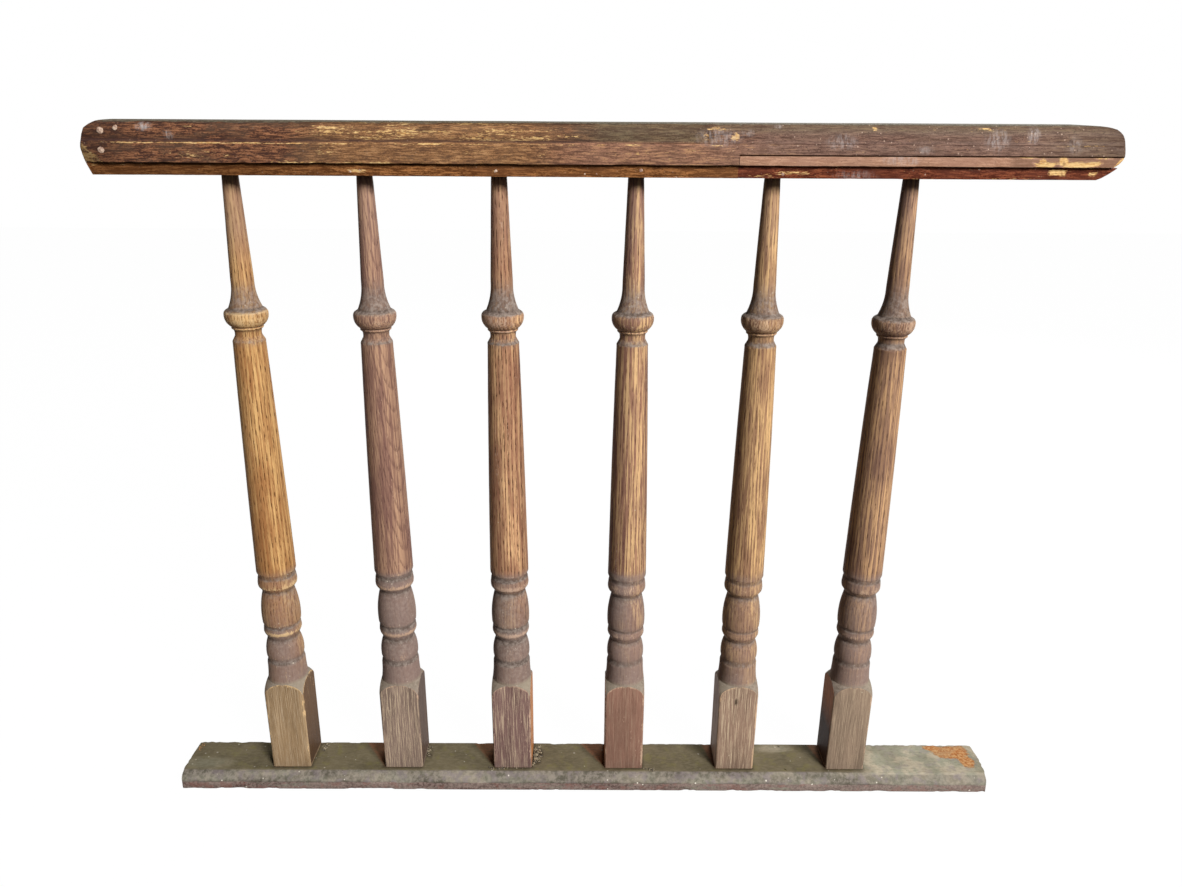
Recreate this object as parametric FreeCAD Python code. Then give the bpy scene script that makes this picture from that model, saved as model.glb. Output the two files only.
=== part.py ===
import FreeCAD, Part
import math
import os

# Stair balustrade panel: six turned balusters between a moulded handrail and a bevelled bottom rail.
# Millimetres. X runs along the rails, Y from the front to the back, Z up from the underside of the bottom rail.
# The origin lies under the middle of the row of balusters.

# Row of balusters
baluster_count = 6
baluster_pitch = 127.0
baluster_length = 653.0
square_side = 43.5

# Square base and its turned shoulder
block_height = 97.0
shoulder_height = 13.0
shoulder_bulge = 1.8
collar_height = 27.0

# Turned members above the base, each height runs from one groove or neck to the next
turning_skim = 0.6
groove_depth = 1.6
collar_depth = 0.9
bowl_height = 26.0
bowl_bulge = 1.5
lower_neck_depth = 4.4
lower_ring_height = 17.5
lower_rim_rise = 7.5
ring_depth = 0.9
ring_bulge = 0.4
vase_height = 41.5
vase_bulge = 1.75
upper_neck_depth = 4.7
upper_ring_height = 19.5
upper_rim_rise = 6.0
edge_rise = 3.0
shaft_foot_depth = 0.5
shaft_swell = 0.4
shaft_top_radius = 15.5

# Cup, throat and neck above the shaft
throat_height = 12.5
throat_radius = 12.9
throat_ring_radius = 15.1
throat_ring_height = 2.0
cup_height = 19.0
cup_radius = 20.8
cup_bulge = 1.5
flare_foot_radius = 17.0
flare_height = 23.5
flare_bulge = 1.2
taper_length = 101.0
taper_foot_radius = 10.9
taper_top_radius = 7.5

# Round pin at the top of a baluster and its bore in the subrail
pin_radius = 6.3
pin_clearance = 0.15
pin_end_gap = 0.5

# Bottom rail
rail_thickness = 19.0
rail_left = -441.0
rail_right = 481.5
rail_front_ledge = 6.5
rail_bevel = 9.0
rail_lower_round = 1.2

# Handrail
handrail_left = -432.9
handrail_right = 500.6
handrail_width = 63.5
handrail_height = 37.0
crown_rise = 1.6
roll_shoulder = 6.2
roll_bulge = 2.6
band_height = 17.4
quirk_depth = 2.1
quirk_height = 1.9
end_ease = 4.0
left_foot_inset = 1.3
left_foot_rise = 14.0
left_lean = 3.2
left_top_drop = 13.0
left_top_run = 20.0
left_top_bulge = 2.8
right_foot_inset = 0.6
right_foot_rise = 7.0
right_lean = 3.2
right_top_drop = 13.6
right_turn_inset = 10.5
right_turn_drop = 4.7
right_turn_bulge = 1.4
right_top_run = 42.0
right_top_bulge = 1.1

# Repair strip let into the lower front edge of the handrail
strip_start = 155.5
strip_height = 8.5
strip_depth = 12.0

# Subrail in two lengths
subrail_thickness = 11.0
subrail_width = 54.0
subrail_left_inset = 1.6
subrail_left_slope = 4.6
subrail_right_inset = 0.8
subrail_right_slope = 19.3

# Places that follow from the sizes above
full_radius = square_side / 2 - turning_skim
corner_radius = square_side / 2 * math.sqrt(2) + 1.0
seat_z = rail_thickness
subrail_z = seat_z + baluster_length
handrail_z = subrail_z + subrail_thickness
handrail_top = handrail_z + handrail_height


def edge(start, end, bulge):
    """A straight edge, or an arc standing off the chord by the bulge, to the right of the way from start to end."""
    if bulge == 0:
        return Part.LineSegment(start, end).toShape()
    chord = end - start
    out = chord.cross(FreeCAD.Vector(0, 1, 0))
    out.normalize()
    middle = (start + end) * 0.5 - out * bulge
    return Part.Arc(start, middle, end).toShape()


def outline(steps):
    """A closed face in the XZ plane; each step is x, z and the bulge of the edge that leads on from it."""
    points = [FreeCAD.Vector(x, 0, z) for x, z, bulge in steps]
    edges = []
    for i, step in enumerate(steps):
        edges.append(edge(points[i], points[(i + 1) % len(points)], step[2]))
    return Part.Face(Part.Wire(edges))


def baluster_x(index):
    """Place of a baluster along the rails, counted from the left."""
    return (index - (baluster_count - 1) / 2) * baluster_pitch


def base_steps(crown_z):
    """Square block up to the shoulder, at a radius that clears its corners, then the shoulder and the collar."""
    bowl_z = crown_z + collar_height
    collar_radius = full_radius - collar_depth
    return [
        (0, 0, 0),
        (corner_radius, 0, 0),
        (corner_radius, block_height, shoulder_bulge),
        (square_side / 2, crown_z, -0.4),
        (collar_radius, bowl_z - edge_rise / 2, 0),
        (full_radius - groove_depth, bowl_z, 0),
    ]


def lower_steps(bowl_z, lower_neck_z, vase_z, upper_neck_z, shaft_z):
    """Bowl, lower ring, vase and upper ring, with a neck or a groove between each two."""
    ring_radius = full_radius - ring_depth
    return [
        (full_radius - collar_depth / 2, bowl_z + edge_rise / 2, bowl_bulge),
        (full_radius - lower_neck_depth, lower_neck_z, -0.4),
        (ring_radius, lower_neck_z + lower_rim_rise, ring_bulge),
        (ring_radius, vase_z - edge_rise, 0),
        (full_radius - groove_depth, vase_z, 0),
        (full_radius - collar_depth, vase_z + edge_rise, vase_bulge),
        (full_radius - upper_neck_depth, upper_neck_z, -0.3),
        (ring_radius, upper_neck_z + upper_rim_rise, ring_bulge),
        (ring_radius, shaft_z - edge_rise, 0),
        (full_radius - groove_depth, shaft_z, 0),
        (full_radius - shaft_foot_depth, shaft_z + edge_rise, shaft_swell),
    ]


def upper_steps(shoulder_z, cup_z, flare_z, taper_z):
    """Shoulder of the shaft, throat with its small ring, cup, flare, tapered neck and pin."""
    pin_top = baluster_length + subrail_thickness - pin_end_gap
    return [
        (shaft_top_radius, shoulder_z - edge_rise, 0.6),
        (throat_radius, shoulder_z + throat_height * 0.3, 0),
        (throat_radius, cup_z - throat_ring_height * 2, -0.3),
        (throat_ring_radius, cup_z - throat_ring_height, 0.2),
        (throat_ring_radius, cup_z - throat_ring_height * 0.3, 0),
        (throat_ring_radius - 0.5, cup_z, 0),
        (throat_ring_radius + 0.8, cup_z + 0.5, cup_bulge),
        (cup_radius, cup_z + cup_height * 0.64, 0.6),
        (cup_radius - 1.9, flare_z - edge_rise * 0.6, 0),
        (flare_foot_radius, flare_z, -flare_bulge),
        (taper_foot_radius, taper_z, 0),
        (taper_top_radius, baluster_length, 0),
        (pin_radius, baluster_length, 0),
        (pin_radius, pin_top, 0),
        (0, pin_top, 0),
    ]


def baluster():
    """One baluster turned from square stock: the turned form cut by the square leaves the arched shoulders."""
    crown_z = block_height + shoulder_height
    bowl_z = crown_z + collar_height
    lower_neck_z = bowl_z + bowl_height
    vase_z = lower_neck_z + lower_ring_height
    upper_neck_z = vase_z + vase_height
    shaft_z = upper_neck_z + upper_ring_height
    taper_z = baluster_length - taper_length
    flare_z = taper_z - flare_height
    cup_z = flare_z - cup_height
    shoulder_z = cup_z - throat_height
    steps = base_steps(crown_z)
    steps += lower_steps(bowl_z, lower_neck_z, vase_z, upper_neck_z, shaft_z)
    steps += upper_steps(shoulder_z, cup_z, flare_z, taper_z)
    turned = outline(steps).revolve(FreeCAD.Vector(0, 0, 0), FreeCAD.Vector(0, 0, 1), 360)
    half = square_side / 2
    stock = Part.makeBox(square_side, square_side, baluster_length * 2, FreeCAD.Vector(-half, -half, 0))
    return turned.common(stock)


def across(face, start, end):
    """A section drawn in the XZ plane, turned so that its x runs along Y, and drawn out along X."""
    turned = face.copy()
    turned.rotate(FreeCAD.Vector(0, 0, 0), FreeCAD.Vector(0, 0, 1), 90)
    turned.translate(FreeCAD.Vector(start, 0, 0))
    return turned.extrude(FreeCAD.Vector(end - start, 0, 0))


def bottom_rail():
    """Flat rail with a bevelled front edge, its back flush with the backs of the square bases."""
    back = square_side / 2
    top_front = -square_side / 2 - rail_front_ledge
    front = top_front - rail_bevel
    section = outline([
        (back, 0, 0),
        (back, rail_thickness, 0),
        (top_front, rail_thickness, 0),
        (front, rail_thickness - rail_bevel, 0),
        (front, rail_lower_round, rail_lower_round * 0.29),
        (front + rail_lower_round, 0, 0),
    ])
    return across(section, rail_left, rail_right)


def handrail_section():
    """Moulded section: flat band below, a quirk, a roll on each side and a crowned top."""
    half = handrail_width / 2
    band_z = handrail_z + band_height
    quirk_z = band_z + quirk_height
    shoulder_z = handrail_top - crown_rise
    return outline([
        (half, handrail_z, 0),
        (half, band_z, 0),
        (half - quirk_depth, quirk_z, roll_bulge),
        (half - roll_shoulder, shoulder_z, crown_rise),
        (-half + roll_shoulder, shoulder_z, roll_bulge),
        (-half + quirk_depth, quirk_z, 0),
        (-half, band_z, 0),
        (-half, handrail_z, 0),
    ])


def handrail_elevation():
    """Shape of the handrail seen from the front: both ends lean in towards the top and are rounded there."""
    left = handrail_left
    right = handrail_right
    return outline([
        (right - right_foot_inset, handrail_z, 0),
        (right, handrail_z + right_foot_rise, 0),
        (right - right_lean, handrail_top - right_top_drop, right_turn_bulge),
        (right - right_turn_inset, handrail_top - right_turn_drop, right_top_bulge),
        (right - right_top_run, handrail_top, 0),
        (left + left_top_run, handrail_top, left_top_bulge),
        (left + left_lean, handrail_top - left_top_drop, 0),
        (left, handrail_z + left_foot_rise, 0),
        (left + left_foot_inset, handrail_z, 0),
    ])


def eased_box(left, right, width, low, high):
    """A box along the rail whose four upright edges are rounded."""
    size = FreeCAD.Vector(left, -width / 2, low)
    box = Part.makeBox(right - left, width, high - low, size)
    upright = [e for e in box.Edges if abs(e.Vertexes[0].Z - e.Vertexes[-1].Z) > (high - low) / 2]
    return box.makeFillet(end_ease, upright)


def handrail_blank():
    """The whole handrail before the repair strip is let in."""
    moulded = across(handrail_section(), handrail_left, handrail_right)
    face = handrail_elevation()
    face.translate(FreeCAD.Vector(0, -handrail_width, 0))
    shaped = moulded.common(face.extrude(FreeCAD.Vector(0, handrail_width * 2, 0)))
    plan = eased_box(handrail_left, handrail_right, handrail_width, handrail_z, handrail_top)
    return shaped.common(plan)


def strip_room():
    """The rabbet along the lower front edge that the repair strip fills to the right end."""
    front = -handrail_width / 2
    place = FreeCAD.Vector(strip_start, front - strip_depth, handrail_z - strip_height)
    return Part.makeBox(handrail_right, strip_depth * 2, strip_height * 2, place)


def subrail_face(left_top, left_low, right_top, right_low):
    """Shape of one length of subrail seen from the front."""
    top = handrail_z
    face = outline([
        (left_low, subrail_z, 0),
        (left_top, top, 0),
        (right_top, top, 0),
        (right_low, subrail_z, 0),
    ])
    face.translate(FreeCAD.Vector(0, -subrail_width / 2, 0))
    return face.extrude(FreeCAD.Vector(0, subrail_width, 0))


def bored(strip):
    """The subrail with a bore for the pin of each baluster that it crosses."""
    radius = pin_radius + pin_clearance
    for index in range(baluster_count):
        place = FreeCAD.Vector(baluster_x(index), 0, subrail_z - 1)
        strip = strip.cut(Part.makeCylinder(radius, subrail_thickness + 2, place))
    return strip


def subrail_left():
    """Left length, its outer end sloped on from the end of the handrail."""
    left = handrail_left + subrail_left_inset
    return bored(subrail_face(left, left + subrail_left_slope, strip_start, strip_start))


def subrail_right():
    """Right length, its outer end cut to a long slope."""
    right = handrail_right - subrail_right_inset
    return bored(subrail_face(strip_start, strip_start, right, right - subrail_right_slope))


def save(shape, name):
    """One clean solid for each node."""
    solid = shape.Solids[0].removeSplitter()
    if len(shape.Solids) != 1 or not solid.isValid():
        raise ValueError(name + " is not one sound solid")
    solid.exportStep("parts/" + name + ".step")


os.makedirs("parts", exist_ok=True)
blank = handrail_blank()
save(blank.cut(strip_room()), "handrail")
save(blank.common(strip_room()), "repair_strip")
save(subrail_left(), "subrail_left")
save(subrail_right(), "subrail_right")
save(bottom_rail(), "bottom_rail")
turned_baluster = baluster()
for number in range(baluster_count):
    one = turned_baluster.copy()
    one.translate(FreeCAD.Vector(baluster_x(number), 0, seat_z))
    save(one, "baluster_" + str(number + 1))
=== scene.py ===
"""Looks of an old stair balustrade panel: worn handrail, turned oak balusters and a dirty bottom rail."""

import math
from functools import partial

import bmesh
import bpy
import numpy as np
from bpy.props import FloatProperty, FloatVectorProperty, IntProperty, PointerProperty
from mathutils import Matrix, Vector


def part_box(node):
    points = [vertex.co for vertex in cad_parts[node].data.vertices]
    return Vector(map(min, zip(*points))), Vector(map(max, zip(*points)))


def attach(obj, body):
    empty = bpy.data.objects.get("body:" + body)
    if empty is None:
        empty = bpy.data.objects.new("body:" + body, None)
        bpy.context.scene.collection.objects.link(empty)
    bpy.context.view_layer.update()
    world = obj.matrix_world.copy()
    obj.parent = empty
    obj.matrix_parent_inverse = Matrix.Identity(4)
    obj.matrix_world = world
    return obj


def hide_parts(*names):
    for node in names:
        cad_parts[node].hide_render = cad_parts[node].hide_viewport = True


bl_info = {
    "name": "Stair balustrade panel",
    "version": (1, 0, 0),
    "blender": (4, 5, 0),
    "location": "View3D > Sidebar > Balustrade",
    "description": "Builds the worn wooden pieces of a stair balustrade panel and its stage",
    "category": "Object",
}

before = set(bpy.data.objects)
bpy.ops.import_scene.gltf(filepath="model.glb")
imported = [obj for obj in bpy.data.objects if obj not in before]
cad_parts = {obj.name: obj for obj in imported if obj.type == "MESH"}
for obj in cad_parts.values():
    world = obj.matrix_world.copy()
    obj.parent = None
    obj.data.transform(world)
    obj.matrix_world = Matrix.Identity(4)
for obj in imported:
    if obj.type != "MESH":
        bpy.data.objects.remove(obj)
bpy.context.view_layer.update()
MM = 0.001


def node_low(node):
    """Lowest corner of a solid."""
    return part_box(node)[0]


def node_high(node):
    """Highest corner of a solid."""
    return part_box(node)[1]


def tone(red, green, blue):
    """A colour as it looks on a screen, each part from 0 to 255, made linear."""
    parts = [c / 255 for c in (red, green, blue)]
    return tuple(c / 12.92 if c <= 0.04045 else ((c + 0.055) / 1.055) ** 2.4 for c in parts)


def darker(shade, factor):
    """The same colour with less light."""
    return tuple(factor * c for c in shade)


def colour(name, description, default):
    """A colour that a user may change."""
    return FloatVectorProperty(
        name=name, description=description, default=default, subtype="COLOR", min=0, max=1, size=3
    )


def length(name, description, default):
    """A length that a user may change."""
    return FloatProperty(name=name, description=description, default=default, unit="LENGTH", precision=5)


def angle(name, description, degrees):
    """A turn that a user may change."""
    return FloatProperty(name=name, description=description, default=math.radians(degrees), subtype="ANGLE")


def power(name, description, default):
    """The power of a lamp that a user may change."""
    return FloatProperty(name=name, description=description, default=default, unit="POWER")


# Sizes and colours


class BalusterSettings(bpy.types.PropertyGroup):
    """Sizes of the turned balusters."""

    count: IntProperty(name="Count", description="Balusters in the row", default=6, min=1)
    pitch: length("Pitch", "Distance between two balusters", 0.127)
    length: length("Length", "From the bottom rail to the subrail", 0.653)
    seat: length("Seat", "Height of the top of the bottom rail", float(node_high("bottom_rail")[2]))
    side: length("Side", "Side of the square base", 0.0435)
    ease: length("Ease", "How far the corners of the base are worn down", 0.0009)
    around: IntProperty(name="Around", description="Faces around a baluster", default=128, min=16)
    dent: length("Dents", "Depth of the shallow dents", 0.0003)
    chip: length("Chips", "Depth of the chips along the edges", 0.0009)


class HandrailSettings(bpy.types.PropertyGroup):
    """Sizes of the handrail, its repair strip and the subrail."""

    width: length("Width", "Width of the handrail", 0.0635)
    band: length("Band", "Height of the flat band", 0.0174)
    quirk: length("Quirk", "Depth of the groove above the band", 0.0021)
    strip_depth: length("Strip depth", "Depth of the repair strip", 0.012)
    strip_height: length("Strip height", "Height of the repair strip", 0.0085)
    wear: length("Wear", "Depth of the wear along the edges", 0.0009)


class RailSettings(bpy.types.PropertyGroup):
    """Sizes of the bottom rail."""

    bevel: length("Bevel", "Size of the bevelled front edge", 0.009)
    wear: length("Wear", "Depth of the wear along the edges", 0.0011)


class FinishSettings(bpy.types.PropertyGroup):
    """Main colours of the finishes."""

    bare: colour("Bare wood", "Wood where the varnish is gone", tone(224, 188, 130))
    dust: colour("Dust", "Grey dust on the upper faces", tone(146, 132, 122))
    dark_dust: colour("Dark dust", "Dust where it lies thick and damp", tone(90, 78, 71))
    groove: colour("Grooves", "Old dirt in the grooves", tone(62, 49, 43))
    paint: colour("Rail paint", "Old olive paint of the bottom rail", tone(108, 98, 76))


class StageSettings(bpy.types.PropertyGroup):
    """Camera, lights and floor."""

    lens: FloatProperty(name="Lens", description="Focal length in mm on a 36 mm sensor", default=27.034)
    eye: FloatVectorProperty(
        name="Eye",
        description="Place of the camera",
        default=(0.0231, -0.86296, 0.71204),
        subtype="TRANSLATION",
    )
    pitch: angle("Pitch", "Turn of the camera downwards", 19.416)
    yaw: angle("Yaw", "Turn of the camera to the right", 0.085)
    roll: angle("Roll", "Lean of the camera", -0.333)
    floor: colour("Floor", "Pale floor", (0.12, 0.12, 0.12))
    key: power("Key light", "Power of the main lamp", 404.0)
    back: power("Back light", "Power of the lamp behind the panel", 40.0)
    sky: FloatProperty(name="Sky", description="Strength of the even light", default=0.025)


class BalustradeSettings(bpy.types.PropertyGroup):
    """All settings of the balustrade."""

    baluster: PointerProperty(type=BalusterSettings)
    handrail: PointerProperty(type=HandrailSettings)
    rail: PointerProperty(type=RailSettings)
    finish: PointerProperty(type=FinishSettings)
    stage: PointerProperty(type=StageSettings)


def settings():
    """The settings kept on the scene."""
    return bpy.context.scene.balustrade


# Node trees


def opaque(shade):
    """A colour as a node wants it, or the socket that brings one."""
    return shade if isinstance(shade, bpy.types.NodeSocket) else tuple(shade)[:3] + (1.0,)


class Nodes:
    """A node tree with short ways to add what this file needs."""

    def __init__(self, tree):
        self.tree = tree

    def feed(self, target, value):
        """Links a socket to an input, or sets the input to a plain value."""
        if isinstance(value, bpy.types.NodeSocket):
            self.tree.links.new(value, target)
        else:
            target.default_value = value

    def put(self, kind, inputs=None, **values):
        """Adds a node, sets its values and feeds its inputs."""
        node = self.tree.nodes.new(kind)
        for key, value in values.items():
            setattr(node, key, value)
        for key, value in (inputs or {}).items():
            self.feed(node.inputs[key], value)
        return node

    def math(self, operation, a, b=0.0):
        """One step of arithmetic."""
        return self.put("ShaderNodeMath", {0: a, 1: b}, operation=operation).outputs[0]

    def plus(self, a, b):
        """Sum of two values."""
        return self.math("ADD", a, b)

    def minus(self, a, b):
        """Difference of two values."""
        return self.math("SUBTRACT", a, b)

    def times(self, a, b):
        """Product of two values."""
        return self.math("MULTIPLY", a, b)

    def scaled(self, value, factor, offset):
        """A value times a factor, plus an offset."""
        inputs = {0: value, 1: factor, 2: offset}
        return self.put("ShaderNodeMath", inputs, operation="MULTIPLY_ADD").outputs[0]

    def clamped(self, value):
        """A value held between 0 and 1."""
        return self.put("ShaderNodeClamp", {0: value}).outputs[0]

    def ramp(self, value, low, high, start=0.0, end=1.0):
        """A smooth step from one level to another."""
        inputs = {"Value": value, "From Min": low, "From Max": high, "To Min": start, "To Max": end}
        return self.put("ShaderNodeMapRange", inputs, interpolation_type="SMOOTHSTEP").outputs["Result"]

    def noise(self, point, scale, detail=2.0, roughness=0.5):
        """Soft noise between 0 and 1."""
        inputs = {"Vector": point, "Scale": scale, "Detail": detail, "Roughness": roughness}
        return self.put("ShaderNodeTexNoise", inputs).outputs["Fac"]

    def stretched(self, point, factors):
        """A point with each coordinate times its own factor."""
        inputs = {0: point, 1: factors}
        return self.put("ShaderNodeVectorMath", inputs, operation="MULTIPLY").outputs["Vector"]

    def shifted(self, point, way):
        """A point moved along a way."""
        return self.put("ShaderNodeVectorMath", {0: point, 1: way}, operation="ADD").outputs["Vector"]

    def parts(self, vector):
        """The three coordinates of a vector."""
        return self.put("ShaderNodeSeparateXYZ", {0: vector}).outputs

    def joined(self, x, y, z):
        """A vector from its three coordinates."""
        return self.put("ShaderNodeCombineXYZ", {0: x, 1: y, 2: z}).outputs[0]

    def blend(self, factor, first, second):
        """Two colours blended by a mask."""
        inputs = {0: factor, 6: opaque(first), 7: opaque(second)}
        return self.put("ShaderNodeMix", inputs, data_type="RGBA").outputs[2]

    def either(self, choice, first, second):
        """The first value where the choice is 0, the second where it is 1."""
        return self.put("ShaderNodeMix", {0: choice, 2: first, 3: second}).outputs[0]

    def value(self, name):
        """In a material, a value kept on the points of the mesh."""
        return self.put("ShaderNodeAttribute", attribute_name=name).outputs["Fac"]

    def upward(self):
        """In a material, how far a face looks up."""
        return self.parts(self.put("ShaderNodeNewGeometry").outputs["Normal"])["Z"]

    def along_x(self, point):
        """Coordinates turned so that the grain runs along X."""
        given = self.parts(point)
        return self.joined(given["Y"], given["Z"], given["X"])

    def placed(self, point, place):
        """Coordinates moved so that the pith of the tree runs past the piece."""
        inputs = {"Vector": point, "Location": place}
        return self.put("ShaderNodeMapping", inputs, vector_type="POINT").outputs[0]

    def effect(self, name, inputs):
        """A shared effect placed in a material."""
        return self.put("ShaderNodeGroup", inputs, node_tree=shader_group(name)).outputs

    def named(self, name, kind="FLOAT"):
        """In a shape, a value kept on its points."""
        return self.put("GeometryNodeInputNamedAttribute", {"Name": name}, data_type=kind).outputs[0]

    def position(self):
        """In a shape, the place of each point."""
        return self.put("GeometryNodeInputPosition").outputs[0]

    def push(self, shape, distance, **inputs):
        """In a shape, its points moved along their normals."""
        normal = self.put("GeometryNodeInputNormal").outputs[0]
        way = self.put("ShaderNodeVectorMath", {0: normal, "Scale": distance}, operation="SCALE")
        return self.step("SetPosition", shape, Offset=way.outputs["Vector"], **inputs)

    def step(self, kind, shape, **inputs):
        """One step of a shape, such as its move or its merge."""
        inputs.update(Geometry=shape)
        return self.put("GeometryNode" + kind, inputs).outputs[0]


def new_group(name, kind, inputs, outputs):
    """An empty node group; gives its nodes, the sockets it is given and those of its result."""
    tree = bpy.data.node_groups.new(name, kind)
    for label, socket, default in inputs:
        item = tree.interface.new_socket(name=label, in_out="INPUT", socket_type=socket)
        if default is not None:
            item.default_value = default
    for label, socket in outputs:
        tree.interface.new_socket(name=label, in_out="OUTPUT", socket_type=socket)
    given = tree.nodes.new("NodeGroupInput").outputs
    result = tree.nodes.new("NodeGroupOutput").inputs
    return Nodes(tree), given, result


def grain_group():
    """Open oak grain along Z: growth rings around the pith, rows of pores, long fibres and broad patches."""
    nodes, given, result = new_group(
        "Oak grain",
        "ShaderNodeTree",
        [
            ("Point", "NodeSocketVector", None),
            ("Ring Width", "NodeSocketFloat", 0.0034),
            ("Wander", "NodeSocketFloat", 0.006),
            ("Tilt", "NodeSocketFloat", 0.0),
            ("Pore Length", "NodeSocketFloat", 0.1),
        ],
        [(name, "NodeSocketFloat") for name in ("Early", "Pores", "Fibre", "Figure")],
    )
    point = given["Point"]
    slow = nodes.stretched(point, (1.0, 1.0, 0.14))
    sway = nodes.times(nodes.minus(nodes.noise(slow, 22.0, 3.0), 0.5), given["Wander"])
    from_pith = nodes.stretched(point, (1.0, 1.0, 0.0))
    around = nodes.put("ShaderNodeVectorMath", {0: from_pith}, operation="LENGTH").outputs["Value"]
    along = nodes.parts(point)["Z"]
    reached = nodes.scaled(along, given["Tilt"], nodes.plus(around, sway))
    phase = nodes.math("FRACT", nodes.math("DIVIDE", reached, given["Ring Width"]))
    early = nodes.math("MAXIMUM", nodes.ramp(phase, 0.04, 0.42, 1.0, 0.0), nodes.ramp(phase, 0.92, 1.0))
    drawn_out = nodes.joined(1.0, 1.0, given["Pore Length"])
    dash = nodes.ramp(nodes.noise(nodes.stretched(point, drawn_out), 1250.0, 2.0, 0.5), 0.5, 0.58)
    pores = nodes.times(dash, nodes.scaled(early, 0.8, 0.2))
    fibre = nodes.noise(nodes.stretched(point, (1.0, 1.0, 0.022)), 640.0, 3.0, 0.6)
    figure = nodes.noise(nodes.stretched(point, (1.0, 1.0, 0.2)), 46.0, 3.0, 0.55)
    for name, socket in (("Early", early), ("Pores", pores), ("Fibre", fibre), ("Figure", figure)):
        nodes.feed(result[name], socket)
    return nodes.tree


def wear_group():
    """Where a worn film is gone: an amount between 0 and 1, torn along the grain."""
    nodes, given, result = new_group(
        "Torn film",
        "ShaderNodeTree",
        [
            ("Point", "NodeSocketVector", None),
            ("Amount", "NodeSocketFloat", 0.0),
            ("Sharpness", "NodeSocketFloat", 0.12),
        ],
        [("Mask", "NodeSocketFloat")],
    )
    point = given["Point"]
    coarse = nodes.noise(nodes.stretched(point, (1.0, 1.0, 0.09)), 230.0, 4.0, 0.62)
    fine = nodes.noise(nodes.stretched(point, (1.0, 1.0, 0.2)), 1200.0, 3.0, 0.65)
    torn = nodes.scaled(fine, 1.0, nodes.scaled(coarse, 0.75, -0.375))
    level = nodes.minus(0.82, nodes.times(given["Amount"], 0.52))
    over = nodes.minus(torn, level)
    mask = nodes.ramp(nodes.math("DIVIDE", over, given["Sharpness"]), 0.0, 1.0)
    nodes.feed(result["Mask"], mask)
    return nodes.tree


def dirt_group():
    """Dirt that settles in hollows and on faces that look up."""
    nodes, given, result = new_group(
        "Settled dirt",
        "ShaderNodeTree",
        [
            ("Point", "NodeSocketVector", None),
            ("Hollow", "NodeSocketFloat", 0.0),
            ("Up", "NodeSocketFloat", 0.0),
            ("Amount", "NodeSocketFloat", 1.0),
        ],
        [("Mask", "NodeSocketFloat"), ("Mottle", "NodeSocketFloat")],
    )
    mottle = nodes.noise(given["Point"], 260.0, 5.0, 0.65)
    lying = nodes.ramp(given["Up"], 0.2, 0.85)
    gathered = nodes.plus(given["Hollow"], lying)
    uneven = nodes.times(gathered, nodes.scaled(mottle, 1.5, 0.1))
    mask = nodes.math("MINIMUM", nodes.times(uneven, given["Amount"]), 0.95)
    nodes.feed(result["Mask"], mask)
    nodes.feed(result["Mottle"], mottle)
    return nodes.tree


def speck_group():
    """Small separate specks."""
    nodes, given, result = new_group(
        "Specks",
        "ShaderNodeTree",
        [
            ("Point", "NodeSocketVector", None),
            ("Scale", "NodeSocketFloat", 300.0),
            ("Size", "NodeSocketFloat", 0.16),
        ],
        [("Mask", "NodeSocketFloat")],
    )
    cell = nodes.put("ShaderNodeTexVoronoi", {"Vector": given["Point"], "Scale": given["Scale"]})
    chance = nodes.put("ShaderNodeSeparateColor", {"Color": cell.outputs["Color"]}).outputs[0]
    radius = nodes.times(given["Size"], nodes.ramp(chance, 0.45, 1.0))
    near = nodes.minus(radius, cell.outputs["Distance"])
    nodes.feed(result["Mask"], nodes.ramp(near, 0.0, 0.08))
    return nodes.tree


def shader_group(name):
    """The shared effect of that name, made at its first use."""
    makers = {
        "Oak grain": grain_group,
        "Torn film": wear_group,
        "Settled dirt": dirt_group,
        "Specks": speck_group,
    }
    return bpy.data.node_groups.get(name) or makers[name]()


def new_material(name):
    """A material with a Principled shader; gives its nodes, the shader's inputs and the coordinates."""
    material = bpy.data.materials.new(name)
    material.use_nodes = True
    material.node_tree.nodes.clear()
    nodes = Nodes(material.node_tree)
    shader = nodes.put("ShaderNodeBsdfPrincipled")
    nodes.put("ShaderNodeOutputMaterial", {0: shader.outputs[0]})
    point = nodes.put("ShaderNodeTexCoord").outputs["Object"]
    return material, nodes, shader.inputs, point


def finish_shader(nodes, shader, shade, roughness, height, strength, distance):
    """Links colour, roughness and a bump to the shader."""
    bump = nodes.put("ShaderNodeBump", {"Height": height, "Strength": strength, "Distance": distance})
    nodes.feed(shader["Base Color"], shade)
    nodes.feed(shader["Roughness"], roughness)
    nodes.feed(shader["Normal"], bump.outputs[0])


# Materials

DULL = 0.04  # specular level of dry old wood
REGIONS = ("warm", "rosy", "grey", "olive")  # stretches of a varnished rail that have a cast of their own


def film_loss(nodes, point, amount, sharpness):
    """Mask of a film torn off along the grain."""
    return nodes.effect("Torn film", {"Point": point, "Amount": amount, "Sharpness": sharpness})["Mask"]


def settled(nodes, point, hollow, amount, shades=None, up=None):
    """Mask and colour of the dirt that lies on a piece."""
    finish = settings().finish
    dark, light = shades or (finish.dark_dust, finish.dust)
    inputs = {"Point": point, "Hollow": hollow, "Up": up or nodes.upward(), "Amount": amount}
    dirt = nodes.effect("Settled dirt", inputs)
    return dirt["Mask"], nodes.blend(nodes.ramp(dirt["Mottle"], 0.35, 0.65), dark, light)


def sprinkled(nodes, point, scale, size, base, shade, amount):
    """A colour with specks of another one."""
    mask = nodes.effect("Specks", {"Point": point, "Scale": scale, "Size": size})["Mask"]
    return nodes.blend(nodes.times(mask, amount), base, shade)


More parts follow.
